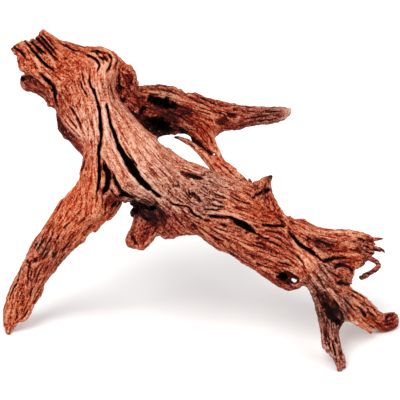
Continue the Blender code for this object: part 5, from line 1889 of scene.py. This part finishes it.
def add_piece(name, picked_quads, picked_triangles):
    used = np.unique(np.concatenate([picked_quads.ravel(), picked_triangles.ravel()]))
    where = np.full(len(verts), -1, np.int64)
    where[used] = np.arange(len(used))
    quad, tri = where[picked_quads], where[picked_triangles]
    data = bpy.data.meshes.new(name)
    data.vertices.add(len(used))
    data.vertices.foreach_set("co", (verts[used] * MM).astype(np.float32).ravel())
    loops = np.concatenate([quad.ravel(), tri.ravel()]).astype(np.int32)
    starts = np.concatenate([np.arange(len(quad)) * 4, len(quad) * 4 + np.arange(len(tri)) * 3]).astype(np.int32)
    data.loops.add(len(loops))
    data.loops.foreach_set("vertex_index", loops)
    data.polygons.add(len(starts))
    data.polygons.foreach_set("loop_start", starts)
    data.update(calc_edges=True)
    data.validate()
    data.polygons.foreach_set("use_smooth", np.ones(len(data.polygons), bool))
    data.normals_split_custom_set_from_vertices(normals[used].astype(np.float32))
    one = np.ones(len(used))
    for label_name, columns in (
        ("wood_tint", (tint[used, 0], tint[used, 1], tint[used, 2], one)),
        ("wood_grain_and_shade", (np.clip((tone[used] + 2) / 6, 0, 1), np.clip(0.5 + 0.2 * fibres[used], 0, 1), one, one)),
    ):
        layer = data.color_attributes.new(label_name, "FLOAT_COLOR", "POINT")
        layer.data.foreach_set("color", np.column_stack(columns).astype(np.float32).ravel())
    data.materials.append(material)
    piece = bpy.data.objects.new(name, data)
    bpy.context.scene.collection.objects.link(piece)
    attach(piece, "root")
    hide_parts("mangrove_root")
    say(f"{name}: {2 * len(quad) + len(tri)} triangles")


def nearest(points):
    return ((points[:, None] - middles[None]) ** 2).sum(2).argmin(1)


quad_side = nearest(verts[quads].mean(1)) if len(quads) else np.zeros(0, int)
triangle_side = nearest(verts[triangles].mean(1)) if len(triangles) else np.zeros(0, int)
for k, name in enumerate(names):
    add_piece(name, quads[quad_side == k], triangles[triangle_side == k])

# ---------------------------------------------------------------- floor, light, camera


def plain_material(name, colour, roughness):
    made = bpy.data.materials.new(name)
    made.use_nodes = True
    shader = next(n for n in made.node_tree.nodes if n.type == "BSDF_PRINCIPLED")
    shader.inputs["Base Color"].default_value = (*colour, 1.0)
    shader.inputs["Roughness"].default_value = roughness
    return made


bpy.ops.mesh.primitive_plane_add(size=12.0, location=(0, 0, 0))
floor = bpy.context.object
floor.name = "studio_floor"
floor.data.materials.append(plain_material("studio_white", (0.93, 0.93, 0.93), 0.9))
floor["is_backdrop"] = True

world = bpy.data.worlds.new("studio")
world.use_nodes = True
world.node_tree.nodes["Background"].inputs[0].default_value = (1.0, 0.995, 0.985, 1.0)
world.node_tree.nodes["Background"].inputs[1].default_value = 0.50
bpy.context.scene.world = world


def soft_light(name, azimuth, height, spread, power):
    """A wide, even light from far off; azimuth 0 is the viewer's side and grows to the right."""
    data = bpy.data.lights.new(name, "SUN")
    data.angle = math.radians(spread)
    data.energy = power
    lamp = bpy.data.objects.new(name, data)
    bpy.context.scene.collection.objects.link(lamp)
    lamp.rotation_euler = (math.radians(90 - height), 0, math.radians(azimuth))
    return lamp


soft_light("key", -28, 50, 30, 2.3)
soft_light("fill", 42, 42, 50, 0.9)
soft_light("back", 165, 65, 60, 0.5)

camera_data = bpy.data.cameras.new("view")
camera_data.lens = 135.0
camera_data.sensor_width = 36.0
camera_data.sensor_fit = "HORIZONTAL"
camera = bpy.data.objects.new("view", camera_data)
bpy.context.scene.collection.objects.link(camera)
target = SHIFT * MM
camera.location = target + EYE_DISTANCE * MM * np.array((0, -math.cos(LEAN), math.sin(LEAN)))
camera.rotation_euler = (math.pi / 2 - LEAN, 0, 0)
bpy.context.scene.camera = camera
bpy.context.scene.view_settings.view_transform = "Standard"

low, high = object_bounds()
say("done")
